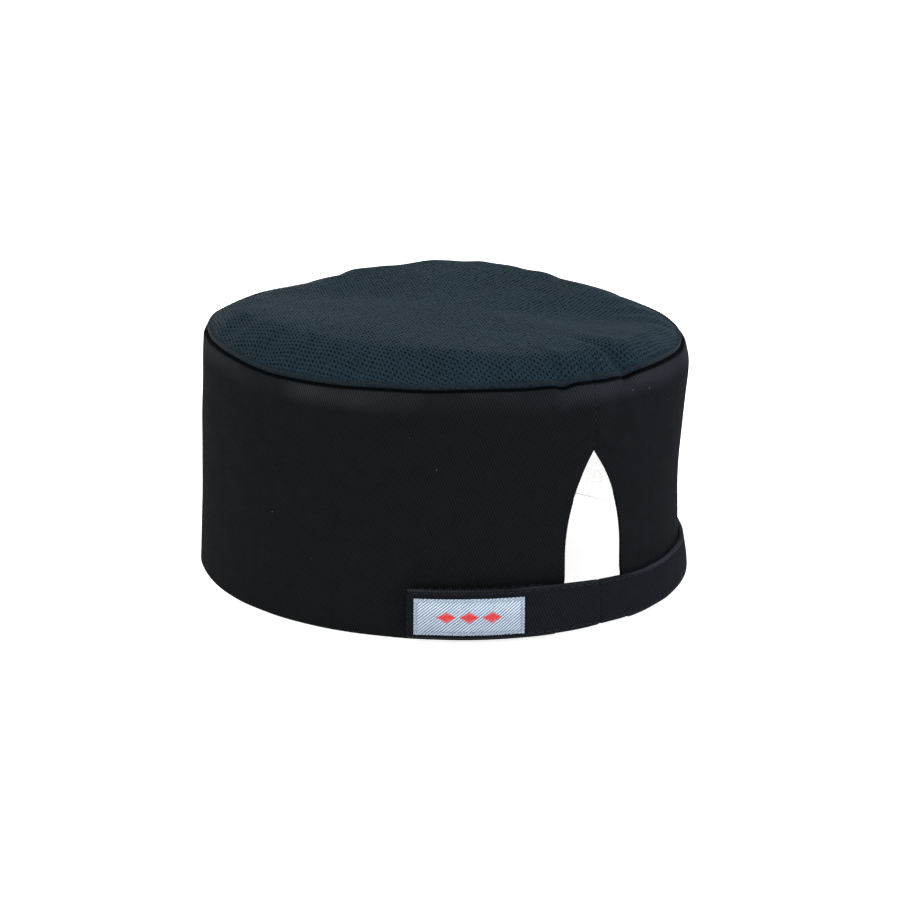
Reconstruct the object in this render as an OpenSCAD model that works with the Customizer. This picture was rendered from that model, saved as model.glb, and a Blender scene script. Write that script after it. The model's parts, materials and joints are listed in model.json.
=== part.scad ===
// Chef's skull cap: an upright twill band with a mesh crown, a keyhole opening at
// the back and a hook-and-loop strap across it.
// The wearer faces -Y, +X is the wearer's left and +Z is up. The origin is the
// centre of the rim, in the plane that the cap rests on.
// Turns round the band are angles t: 0 is the centre back, 90 the wearer's left.

/* [Size] */
// Width of the rim outside, ear to ear
rim_w = 184; // [176:1:192]
// Length of the rim outside, front to back
rim_l = 196; // [188:1:204]
// Width of the band outside at the crown seam
top_w = 175; // [168:1:184]
// Length of the band outside at the crown seam
top_l = 193; // [184:1:200]
// Height of the band from the rim to the crown seam
band_h = 89; // [82:1:100]
// Height of the crown above its seam
crown_rise = 8.5; // [6:0.5:14]

/* [Cloth] */
// Thickness of the crown's knitted mesh
crown_t = 1.0; // [0.6:0.1:1.2]
// Thickness of the band's outer twill
twill_t = 0.7; // [0.5:0.1:0.7]
// Thickness of the interfacing that keeps the band upright
interfacing_t = 0.4; // [0.2:0.1:0.4]
// Thickness of the band's lining
lining_t = 0.6; // [0.4:0.1:0.6]
// Thickness of the sweatband
sweatband_t = 1.4; // [1:0.1:1.8]
// Height of the sweatband
sweatband_h = 30; // [25:1:40]
// Height of the binding that covers the crown seam inside
binding_h = 8; // [6:1:12]

/* [Keyhole] */
// Height of the opening's point above the rim
keyhole_h = 64.5; // [60:0.5:70]
// Half of the opening's width where its sides are upright
keyhole_half_w = 12.2; // [10:0.1:14]
// Half of the opening's width at the rim
keyhole_foot = 16; // [14:0.5:17]

/* [Strap] */
// Width of the strap
strap_w = 17.8; // [16:0.1:19]
// Height of the strap's lower edge above the rim
strap_z = 1.9; // [1.5:0.1:3]
// Thickness of the strap
strap_t = 1.8; // [1.8:0.1:2.4]
// Turn at which the strap's free end lies
tip_turn = 42; // [38:0.5:46]
// Turn at which the free end starts to peel from the band
peel_turn = 11; // [10.5:0.1:13]
// Turn at which the strap leaves the cloth that it is sewn to
swing_turn = -12; // [-16:0.5:-11]
// Turn at which the strap's sewn end lies
sewn_turn = -62; // [-70:1:-50]
// Thickness of each half of the hook-and-loop fastening
tape_t = 0.9; // [0.7:0.1:1.2]

/* [Labels] */
// Turn at which the strap's label starts
label_turn = 17.9; // [16:0.1:20]
// Turn at which the strap's label ends
label_end_turn = 40.4; // [38:0.1:41]
// Height of the strap's label
label_h = 13.4; // [11:0.1:14]
// Thickness of the labels
label_t = 0.4; // [0.3:0.1:0.5]
// Width of the care label inside
care_w = 24; // [15:1:28]
// Length of the care label inside
care_h = 26; // [15:1:26]

/* [Hidden] */

turn_step = 4;          // degrees between the stations of a sweep
ply_gap = 0.1;          // room between two plies that lie on each other
free_gap = 0.3;         // room between two pieces that move apart
hinge_gap = 0.2;        // degrees between two lengths of the strap
thread_t = 0.4;         // width of a row of stitching
thread_turn = 0.12;     // half of that width as a turn
stitch_inset = 1.6;     // from a sewn edge to its row of stitching
seam_slit = 0.3;        // width of the butted seam at the centre back
crown_roundness = 2.2;  // how far out the crown stays flat
crown_shoulder = 0.3;   // how square its shoulder is: less is squarer

// Faces of the plies, as distances out from the band's outer face.
interfacing_out = -twill_t - ply_gap;
interfacing_in = interfacing_out - interfacing_t;
lining_out = interfacing_in - ply_gap;
lining_in = lining_out - lining_t;
sweatband_out = lining_in - ply_gap;
sweatband_in = sweatband_out - sweatband_t;
loop_in = ply_gap;
loop_out = loop_in + tape_t;
hook_in = loop_out + free_gap;
hook_out = hook_in + tape_t;
strap_low = free_gap + ply_gap / 2;   // the strap's inner face where it is sewn down
strap_high = hook_out + ply_gap / 2;  // and where it lies on the hook-and-loop

strap_shell_t = (strap_t - 2 * ply_gap) / 3;
strap_top = strap_z + strap_w;
keyhole_spring = 28;    // height where the opening's sides start to lean in
keyhole_flare = 18;     // height where its foot starts to spread
sweatband_turn = 11.5;  // the sweatband stops this far from the centre back

function flat(offset) = function(t) offset;
function half_w(z) = (rim_w + (top_w - rim_w) * z / band_h) / 2;
function half_l(z) = (rim_l + (top_l - rim_l) * z / band_h) / 2;
function ease(x) = let (c = min(1, max(0, x))) c * c * (3 - 2 * c);

// A point on the band at turn t and height z, that far out from its outer face.
function spot(t, z, out) =
    let (a = half_w(z), b = half_l(z), n = [b * sin(t), a * cos(t)] / norm([b * sin(t), a * cos(t)]))
    [a * sin(t) + out * n[0], b * cos(t) + out * n[1], z];

// The strap's inner and outer faces, which rise from the cloth to the fastening.
function strap_in(t) = strap_low
    + (strap_high - strap_low) * ease((t - swing_turn) / (peel_turn - swing_turn));
function strap_out(t) = strap_in(t) + strap_t;

whole_turn = [for (t = [0 : turn_step : 360 - turn_step]) t];

// Stations from t0 to t1, on one grid for every ply so that no two facets cross.
function stations(t0, t1) = concat(
    [t0],
    [for (t = [ceil((t0 + 0.01) / turn_step) * turn_step : turn_step : t1 - 0.01]) t],
    [t1]
);

// A closed bar through a list of four-cornered sections, joined into a ring or
// closed at both ends.
module loft(sections, ring) {
    n = len(sections);
    sides = [
        for (i = [0 : n - (ring ? 1 : 2)]) for (j = [0 : 3])
            let (a = 4 * i, b = 4 * ((i + 1) % n), k = (j + 1) % 4)
            each [[b + j, b + k, a + k], [b + j, a + k, a + j]]
    ];
    last = 4 * (n - 1);
    ends = ring ? [] : [[0, 1, 2], [0, 2, 3],
                        [last + 2, last + 1, last], [last + 3, last + 2, last]];
    polyhedron([for (section = sections) each section], concat(sides, ends));
}

// Cloth that follows the band from turn t0 to t1, between heights z0 and z1 and
// between the faces in(t) and out(t).
module sweep(t0, t1, z0, z1, in, out) {
    ring = t1 - t0 == 360;
    ts = ring ? whole_turn : stations(t0, t1);
    loft([for (t = ts) [spot(t, z0, in(t)), spot(t, z0, out(t)),
                        spot(t, z1, out(t)), spot(t, z1, in(t))]], ring);
}

// A ply of the band all the way round, with the keyhole and the seam above it.
module band_ply(z0, z1, in, out) {
    difference() {
        sweep(0, 360, z0, z1, flat(in), flat(out));
        keyhole();
        translate([-seam_slit / 2, rim_l / 4, 0])
            cube([seam_slit, rim_l / 2, band_h + 1]);
    }
}

// The opening: a spread foot, upright sides and a pointed arch of two arcs.
module keyhole() {
    rise = keyhole_h - keyhole_spring;
    radius = (keyhole_half_w * keyhole_half_w + rise * rise) / (2 * keyhole_half_w);
    sweep_angle = asin(rise / radius);
    side = concat(
        [[keyhole_foot + keyhole_foot / keyhole_flare, -1], [keyhole_half_w, keyhole_flare]],
        [for (i = [0 : 7]) let (a = sweep_angle * i / 8)
            [keyhole_half_w - radius * (1 - cos(a)), keyhole_spring + radius * sin(a)]]
    );
    outline = concat(side, [[0, keyhole_h]], [for (i = [len(side) - 1 : -1 : 0]) [-side[i][0], side[i][1]]]);
    translate([0, rim_l, 0])
        rotate([90, 0, 0])
            linear_extrude(rim_l * 3 / 4)
                polygon(outline);
}

// A row of stitching: a bead that stands on the face at that distance out.
module stitch_row(t0, t1, z, face) {
    sweep(t0, t1, z - thread_t / 2, z + thread_t / 2,
          function(t) face(t) + ply_gap / 2, function(t) face(t) + ply_gap / 2 + thread_t / 2);
}

// An upright row of stitching between two heights, ends left clear of other rows.
module stitch_post(t, z0, z1, face) {
    sweep(t - thread_turn, t + thread_turn, z0 + thread_t, z1 - thread_t,
          function(t) face(t) + ply_gap / 2, function(t) face(t) + ply_gap / 2 + thread_t / 2);
}

// A rectangle of stitching that holds a patch or a label.
module stitch_frame(t0, t1, z0, z1, face) {
    stitch_row(t0, t1, z0, face);
    stitch_row(t0, t1, z1, face);
    stitch_post(t0 + thread_turn, z0, z1, face);
    stitch_post(t1 - thread_turn, z0, z1, face);
}

// The crown's surface at turn t: share goes from 0 in the middle to 1 at the seam.
function crown_lift(share) = pow(1 - pow(share, crown_roundness), crown_shoulder);
function crown_spot(t, share, inset, rise) = [
    share * (half_w(band_h) - inset) * sin(t),
    share * (half_l(band_h) - inset) * cos(t),
    band_h + rise * crown_lift(share)
];

// A domed shell that stands on the band's upper edge.
module crown_panel() {
    shares = [1, 0.99, 0.97, 0.93, 0.86, 0.75, 0.6, 0.4, 0.2];
    n = len(whole_turn);
    m = len(shares);
    rise_in = crown_rise - crown_t;
    outer = [for (share = shares) for (t = whole_turn) crown_spot(t, share, 0, crown_rise)];
    inner = [for (k = [m - 1 : -1 : 0]) for (t = whole_turn) crown_spot(t, shares[k], crown_t, rise_in)];
    poles = [[0, 0, band_h + crown_rise], [0, 0, band_h + rise_in]];
    top_pole = 2 * m * n;
    walls = [
        for (r = [0 : 2 * m - 1]) if (r != m - 1) for (i = [0 : n - 1])
            let (a = r * n, b = ((r + 1) % (2 * m)) * n, j = (i + 1) % n)
            each [[a + j, b + j, b + i], [a + j, b + i, a + i]]
    ];
    caps = [
        for (i = [0 : n - 1])
            let (a = (m - 1) * n, b = m * n, j = (i + 1) % n)
            each [[a + j, top_pole, a + i], [top_pole + 1, b + j, b + i]]
    ];
    color([0.17, 0.22, 0.25])
        polyhedron(concat(outer, inner, poles), concat(walls, caps));
}

module crown_binding() {
    color([0.09, 0.09, 0.1])
        sweep(0, 360, band_h - binding_h - 1, band_h - 1,
              flat(lining_in - ply_gap - twill_t), flat(lining_in - ply_gap));
}

// A row of stitching round the crown's shoulder, through the folded seam below it.
module crown_topstitch() {
    low = 0.988;
    high = 0.984;
    lean = 50;
    function lifted(t, share, lift) = crown_spot(t, share, 0, crown_rise)
        + lift * [cos(lean) * sin(t), cos(lean) * cos(t), sin(lean)];
    color([0.12, 0.14, 0.15])
        loft([for (t = whole_turn) [
            lifted(t, low, ply_gap), lifted(t, low, ply_gap + thread_t / 2),
            lifted(t, high, ply_gap + thread_t / 2), lifted(t, high, ply_gap)
        ]], true);
}

module side_band() {
    color([0.1, 0.1, 0.11])
        band_ply(0, band_h, -twill_t, 0);
}

module band_interfacing() {
    color([0.8, 0.8, 0.78])
        band_ply(2, band_h - 2, interfacing_in, interfacing_out);
}

module band_lining() {
    color([0.11, 0.11, 0.12])
        band_ply(0.6, band_h - 0.4, lining_in, lining_out);
}

// The seam that joins the band's two ends, closed by a raised row of thread.
module back_seam_thread() {
    color([0.12, 0.12, 0.13])
        stitch_post(0, keyhole_h + 1, band_h - 1, flat(0));
}

module sweatband() {
    color([0.88, 0.88, 0.86])
        sweep(sweatband_turn, 360 - sweatband_turn, 1, 1 + sweatband_h,
              flat(sweatband_in), flat(sweatband_out));
}

module sweatband_stitching() {
    color([0.75, 0.75, 0.73])
        stitch_row(sweatband_turn + 1, 360 - sweatband_turn - 1, 1 + stitch_inset,
                   flat(sweatband_in - ply_gap - thread_t / 2));
}

// The soft half of the fastening, on the wearer's left of the opening.
patch_turn = peel_turn + 1;
patch_end_turn = tip_turn - 0.9;
patch_z0 = strap_z + 1;
patch_z1 = strap_top - 1;

module loop_patch() {
    color([0.08, 0.08, 0.09])
        sweep(patch_turn, patch_end_turn, patch_z0, patch_z1, flat(loop_in), flat(loop_out));
}

// The rows lie round the patch's edge on the band, clear of the patch itself.
module loop_patch_stitching() {
    color([0.14, 0.14, 0.15]) {
        stitch_row(patch_turn, patch_end_turn, patch_z0 - thread_t, flat(0));
        stitch_row(patch_turn, patch_end_turn, patch_z1 + thread_t, flat(0));
    }
}

// A length of the strap's folded twill tube, open where it runs on into the next.
module strap_shell(t0, t1, open0, open1) {
    run = 1;
    difference() {
        sweep(t0, t1, strap_z, strap_top, function(t) strap_in(t), function(t) strap_out(t));
        sweep(t0 + (open0 ? -run : run / 2), t1 + (open1 ? run : -run / 2),
              strap_z + strap_shell_t, strap_top - strap_shell_t,
              function(t) strap_in(t) + strap_shell_t, function(t) strap_out(t) - strap_shell_t);
    }
}

module strap_core(t0, t1) {
    sweep(t0, t1, strap_z + strap_shell_t + ply_gap, strap_top - strap_shell_t - ply_gap,
          function(t) strap_in(t) + strap_shell_t + ply_gap,
          function(t) strap_out(t) - strap_shell_t - ply_gap);
}

module strap_rows(t0, t1) {
    stitch_row(t0, t1, strap_z + stitch_inset, function(t) strap_out(t));
    stitch_row(t0, t1, strap_top - stitch_inset, function(t) strap_out(t));
}

root_end = swing_turn - hinge_gap / 2;
bridge_start = swing_turn + hinge_gap / 2;
bridge_end = peel_turn - hinge_gap / 2;
tab_start = peel_turn + hinge_gap / 2;
row_inset = 0.8;        // degrees from a length's end to its rows of stitching

module strap_root_shell() {
    color([0.11, 0.11, 0.12])
        strap_shell(sewn_turn, root_end, false, true);
}

module strap_root_core() {
    color([0.8, 0.8, 0.78])
        strap_core(sewn_turn + 1, root_end);
}

// Rows along both edges, with a box at the sewn end and a bar by the opening.
module strap_root_stitching() {
    box_turns = 9;
    z0 = strap_z + stitch_inset;
    z1 = strap_top - stitch_inset;
    color([0.14, 0.14, 0.15]) {
        strap_rows(sewn_turn + row_inset, root_end - row_inset);
        for (t = [sewn_turn + row_inset + 0.2, sewn_turn + row_inset + box_turns, root_end - 1.2])
            stitch_post(t, z0, z1, function(t) strap_out(t));
    }
}

module strap_bridge_shell() {
    color([0.11, 0.11, 0.12])
        strap_shell(bridge_start, bridge_end, true, true);
}

module strap_bridge_core() {
    color([0.8, 0.8, 0.78])
        strap_core(bridge_start, bridge_end);
}

module strap_bridge_stitching() {
    color([0.14, 0.14, 0.15])
        strap_rows(bridge_start + row_inset, bridge_end - row_inset);
}

module strap_tab_shell() {
    color([0.11, 0.11, 0.12])
        strap_shell(tab_start, tip_turn, true, false);
}

module strap_tab_core() {
    color([0.8, 0.8, 0.78])
        strap_core(tab_start, tip_turn - 1);
}

module strap_tab_stitching() {
    color([0.14, 0.14, 0.15])
        strap_rows(tab_start + row_inset, label_turn - row_inset);
}

module hook_patch() {
    color([0.07, 0.07, 0.08])
        sweep(patch_turn + 0.5, patch_end_turn, patch_z0, patch_z1, flat(hook_in), flat(hook_out));
}

// Rows along the patch's edges, between the strap and the band.
module hook_patch_stitching() {
    color([0.14, 0.14, 0.15])
        for (z = [patch_z0 - thread_t, patch_z1 + thread_t])
            stitch_row(patch_turn + 0.5, patch_end_turn, z, flat(hook_out - thread_t));
}

label_z0 = strap_z + (strap_w - label_h) * 0.35;
label_z1 = label_z0 + label_h;
label_in = strap_high + strap_t + ply_gap;
label_out = label_in + label_t;

module strap_label() {
    color([0.78, 0.8, 0.85])
        sweep(label_turn, label_end_turn, label_z0, label_z1, flat(label_in), flat(label_out));
}

module strap_label_stitching() {
    edge = 0.5;
    inset = 0.9;
    color([0.72, 0.74, 0.8])
        stitch_frame(label_turn + edge, label_end_turn - edge, label_z0 + inset, label_z1 - inset,
                     flat(label_out));
}

// A plain row of woven lozenges.
module strap_label_motif() {
    count = 3;
    pitch_turn = 4.6;
    long = 2.6;
    tall = 1.9;
    middle = (label_turn + label_end_turn) / 2;
    color([0.8, 0.14, 0.14])
        for (i = [0 : count - 1]) {
            t = middle + (i - (count - 1) / 2) * pitch_turn;
            z = (label_z0 + label_z1) / 2;
            foot = spot(t, z, label_out + ply_gap);
            normal = spot(t, z, label_out + 1) - spot(t, z, label_out);
            translate(foot)
                rotate([90, 0, atan2(normal[1], normal[0]) + 90])
                    linear_extrude(0.2)
                        polygon([[-long, 0], [0, -tall], [long, 0], [0, tall]]);
        }
}

// A flat tab that hangs inside by its upper edge, on the wearer's left.
module care_label() {
    pivot_z = 1 + sweatband_h + 0.6;
    wall = half_w(pivot_z) + sweatband_in;
    bow = care_w * care_w / 8 / (half_l(0) * half_l(0) / half_w(0));
    color([0.85, 0.85, 0.83])
        translate([wall - bow - free_gap - label_t, -care_w / 2, pivot_z - care_h])
            cube([label_t, care_w, care_h]);
}

crown_panel();
crown_binding();
crown_topstitch();
side_band();
band_interfacing();
band_lining();
back_seam_thread();
sweatband();
sweatband_stitching();
loop_patch();
loop_patch_stitching();
strap_root_shell();
strap_root_core();
strap_root_stitching();
strap_bridge_shell();
strap_bridge_core();
strap_bridge_stitching();
strap_tab_shell();
strap_tab_core();
strap_tab_stitching();
hook_patch();
hook_patch_stitching();
strap_label();
strap_label_stitching();
strap_label_motif();
care_label();
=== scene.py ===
"""The looks of a low chef's cap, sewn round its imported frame.

Cloth is cut flat first: x runs round the cap from the centre back towards the wearer's left, y runs up
from the rim, and z is the distance out from the band's outer face. A form then wraps each cut on the cap.
Lengths are in metres.
"""

import json
import logging
import math
import random
from bisect import bisect_right
from collections.abc import Callable
from dataclasses import dataclass, field
from enum import Enum

import bmesh
import bpy
from mathutils import Matrix, Vector, noise


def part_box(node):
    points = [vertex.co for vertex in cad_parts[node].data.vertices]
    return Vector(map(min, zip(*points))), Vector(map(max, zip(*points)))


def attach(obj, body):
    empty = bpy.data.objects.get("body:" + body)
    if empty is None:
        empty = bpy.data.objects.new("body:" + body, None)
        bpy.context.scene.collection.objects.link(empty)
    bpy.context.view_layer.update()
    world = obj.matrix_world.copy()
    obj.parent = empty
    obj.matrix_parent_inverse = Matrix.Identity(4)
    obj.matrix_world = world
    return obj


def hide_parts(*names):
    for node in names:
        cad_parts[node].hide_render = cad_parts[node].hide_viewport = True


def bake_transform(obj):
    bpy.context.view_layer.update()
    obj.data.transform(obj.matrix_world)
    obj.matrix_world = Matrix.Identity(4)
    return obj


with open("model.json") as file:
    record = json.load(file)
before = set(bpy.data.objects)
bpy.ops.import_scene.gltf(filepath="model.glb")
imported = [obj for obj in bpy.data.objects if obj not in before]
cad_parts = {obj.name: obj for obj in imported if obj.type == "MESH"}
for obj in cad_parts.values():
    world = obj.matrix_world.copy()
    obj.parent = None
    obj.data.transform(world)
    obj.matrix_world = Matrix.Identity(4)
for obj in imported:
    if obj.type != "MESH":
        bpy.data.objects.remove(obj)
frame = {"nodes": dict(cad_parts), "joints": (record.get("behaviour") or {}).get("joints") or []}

LOG = logging.getLogger("chef_cap")
MM = 0.001

Place = Callable[[Vector], Vector]
Height = Callable[[float, float], float]
Spread = Callable[[float, float], tuple[float, float]]


# ---------------------------------------------------------------- small helpers


def linear(code: str) -> tuple[float, float, float, float]:
    """Turns an sRGB hex colour into linear RGBA.

    Args:
        code: The colour, such as "2c3a41".

    Returns:
        Its red, green and blue in linear light, and an alpha of 1.
    """
    shares = [int(code[i:i + 2], 16) / 255 for i in (0, 2, 4)]
    red, green, blue = (s / 12.92 if s <= 0.04045 else ((s + 0.055) / 1.055) ** 2.4 for s in shares)
    return red, green, blue, 1.0


def ease(share: float) -> float:
    """Goes smoothly from 0 to 1 as share does, and stays there outside."""
    share = min(1.0, max(0.0, share))
    return share * share * (3 - 2 * share)


def bell(value: float, middle: float, reach: float) -> float:
    """A smooth bump of height 1 at middle that has nearly gone two reaches away."""
    return math.exp(-(((value - middle) / reach) ** 2))


def turn_between(turn: float, middle: float) -> float:
    """The shortest way from middle to turn, in degrees from -180 to 180."""
    return (turn - middle + 180) % 360 - 180


def ripple(turn: float, scale: float, level_up: float) -> float:
    """Smooth noise that closes on itself round the cap, and is finer where scale is larger."""
    angle = math.radians(turn)
    return noise.noise(Vector((scale * math.sin(angle), scale * math.cos(angle), level_up)))


@dataclass(frozen=True)
class Swell:
    """A stretch round the cap where something rises or sinks by size: it is centred on turn, in degrees."""

    size: float
    turn: float
    reach: float

    def at(self, turn: float) -> float:
        """How much it rises at a turn."""
        return self.size * bell(turn_between(turn, self.turn), 0, self.reach)


def swells(turn: float, *parts: Swell) -> float:
    """How much several swells rise together at a turn."""
    return sum(part.at(turn) for part in parts)


# ---------------------------------------------------------------- the cap's form


@dataclass
class CapForm:
    """The oval, tapering wall that every ply of the band follows.

    Turns are degrees round the cap: 0 is the centre back and 90 the wearer's left. The swells are in
    millimetres: the strap's pull, the edge that rolls over above it, the flare at the wearer's front left,
    the fullness behind, the pinch of the back seam, the dips of the crown seam, and where the hem lies flat.
    Each crease has a depth, the turn that it starts from, and how far aside it slants.
    """

    PULL = Swell(-5.4, -60, 27)
    ROLL_OVER = Swell(1.3, -64, 26)
    FLARE = Swell(0.9, 128, 26)
    BACK = Swell(1.3, -2, 11)
    SEAM_TUCK = Swell(-0.55, 0, 0.9)
    DIPS = Swell(-1.5, 7.6, 2.1), Swell(-1.9, -11.5, 2.4), Swell(-0.4, -66, 24), Swell(-1.5, 74, 19)
    CREASES = (1.5, 7.6, -6.7), (1.9, -11.5, 13.0), (1.1, -11.5, -16.0)
    HEM_LIES = Swell(-1.0, -14, 9)

    rim_half: tuple[float, float]
    seam_half: tuple[float, float]
    height: float
    keyhole_top: float = 64.5 * MM
    keyhole_half: float = 12.5 * MM
    keyhole_foot: float = 16 * MM
    keyhole_flare: float = 18 * MM
    keyhole_spring: float = 28 * MM
    steps: int = 1440
    arcs: list[float] = field(default_factory=list)

    def __post_init__(self) -> None:
        """Measures the rim from the centre back to each step of a whole turn."""
        wide, long = self.rim_half
        step = 2 * math.pi / self.steps
        self.arcs = [0.0]
        for i in range(self.steps):
            t = (i + 0.5) * step
            self.arcs.append(self.arcs[-1] + math.hypot(wide * math.cos(t), long * math.sin(t)) * step)

    @property
    def girth(self) -> float:
        """The rim's length all the way round."""
        return self.arcs[-1]

    def turn_at(self, x: float) -> float:
        """Finds a turn from a length of rim.

        Args:
            x: The distance round the rim from the centre back.

        Returns:
            The turn that lies there, in degrees.
        """
        laps, rest = divmod(x, self.girth)
        i = min(bisect_right(self.arcs, rest) - 1, self.steps - 1)
        share = (rest - self.arcs[i]) / (self.arcs[i + 1] - self.arcs[i])
        return 360 * (laps + (i + share) / self.steps)

    def x_at(self, turn: float) -> float:
        """Finds a length of rim from a turn.

        Args:
            turn: The turn, in degrees.

        Returns:
            How far round the rim it lies from the centre back.
        """
        laps, rest = divmod(turn / 360 * self.steps, self.steps)
        i = min(int(rest), self.steps - 1)
        return laps * self.girth + self.arcs[i] + (rest - i) * (self.arcs[i + 1] - self.arcs[i])

    def half(self, z: float) -> tuple[float, float]:
        """Measures the plain wall at a height.

        Args:
            z: The height above the rim.

        Returns:
            Half of its width and half of its length.
        """
        share = z / self.height
        wide, long = (r + (s - r) * share for r, s in zip(self.rim_half, self.seam_half))
        return wide, long

    def relief(self, turn: float, z: float) -> float:
        """How far the worn cloth stands out from the plain oval wall.

        Args:
            turn: Where, in degrees round the cap.
            z: Where, in metres above the rim.

        Returns:
            The distance out, in metres. It is the same for every ply.
        """
        up = z / self.height
        # The pull is strongest below the middle, and weaker at the stiff rim and just under the seam.
        waist = ease((0.92 - up) / 0.55) - 0.22 * bell(up, 0, 0.12) - 0.2 * bell(up, 0.93, 0.09)
        pulled = self.PULL.at(turn) * waist
        # The wall turns in over its top 16 %, and the seam draws its last 1.8 mm in.
        rolled = -(0.4 + self.ROLL_OVER.at(turn)) * max(0.0, (up - 0.84) / 0.16) ** 2
        rolled -= 1.0 * max(0.0, 1 - (self.height - z) / (1.8 * MM)) ** 2
        back = self.BACK.at(turn) * bell(up, 0.86, 0.12)
        tuck = self.SEAM_TUCK.at(turn) * ease((z - self.keyhole_top) / (6 * MM))
        creases = -sum(depth * self.crease(turn, up, *way) for depth, *way in self.CREASES)
        uneven = 0.75 * ripple(turn, 2.1, 1.7 * up) + 0.22 * ripple(turn, 7, 5 * up + 3)
        return (pulled + rolled + self.FLARE.at(turn) + back + tuck + creases + uneven) * MM

    @staticmethod
    def crease(turn: float, up: float, start: float, slant: float) -> float:
        """How deep a crease is that runs down and aside from a dip in the crown seam.

        Args:
            turn: Where, in degrees round the cap.
            up: Where, as a share of the band's height.
            start: The dip's turn.
            slant: How many degrees aside the crease goes per 0.4 of the height.

        Returns:
            Its depth from 0 to 1.
        """
        down = 1 - up
        middle = start + slant * down / 0.4
        return bell(turn_between(turn, middle), 0, 2.6 + 7 * down) * ease(1 - down / 0.42)

    def lift(self, turn: float, z: float) -> float:
        """How far a point is moved up: the crown seam dips and waves a little, and the hem waves.

        Args:
            turn: Where, in degrees round the cap.
            z: Where, in metres above the rim.

        Returns:
            The distance up, in metres, and never below the surface that the cap rests on.
        """
        up = z / self.height
        seam = swells(turn, *self.DIPS) + 0.5 * ripple(turn, 4, 8)
        hem = 0.35 + 0.7 * ripple(turn, 2.4, 4) + self.HEM_LIES.at(turn)
        return (seam * ease((up - 0.8) / 0.2) + max(0.0, hem) * ease(1 - up / 0.2)) * MM

    def wrap(self, flat: Vector) -> Vector:
        """Puts a point of a flat cut on the cap's wall.

        Args:
            flat: The point.

        Returns:
            Where it comes to lie.
        """
        turn = self.turn_at(flat.x)
        wide, long = self.half(flat.y)
        sine, cosine = math.sin(math.radians(turn)), math.cos(math.radians(turn))
        steep = math.hypot(long * sine, wide * cosine)
        out = flat.z + self.relief(turn, flat.y)
        return Vector((
            wide * sine + out * long * sine / steep,
            long * cosine + out * wide * cosine / steep,
            flat.y + self.lift(turn, flat.y),
        ))

    def opening(self, z: float) -> float:
        """Measures the keyhole: it has a spread foot, upright sides and a pointed arch.

        Args:
            z: The height above the rim.

        Returns:
            Half of its width there, and 0 above its point.
        """
        if z < self.keyhole_flare:
            return self.keyhole_half + (self.keyhole_foot - self.keyhole_half) * (1 - z / self.keyhole_flare)
        if z < self.keyhole_spring:
            return self.keyhole_half
        rise = self.keyhole_top - self.keyhole_spring
        radius = (self.keyhole_half ** 2 + rise ** 2) / (2 * self.keyhole_half)
        climb = min(z, self.keyhole_top) - self.keyhole_spring
        return self.keyhole_half - radius + math.sqrt(radius ** 2 - climb ** 2)


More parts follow.
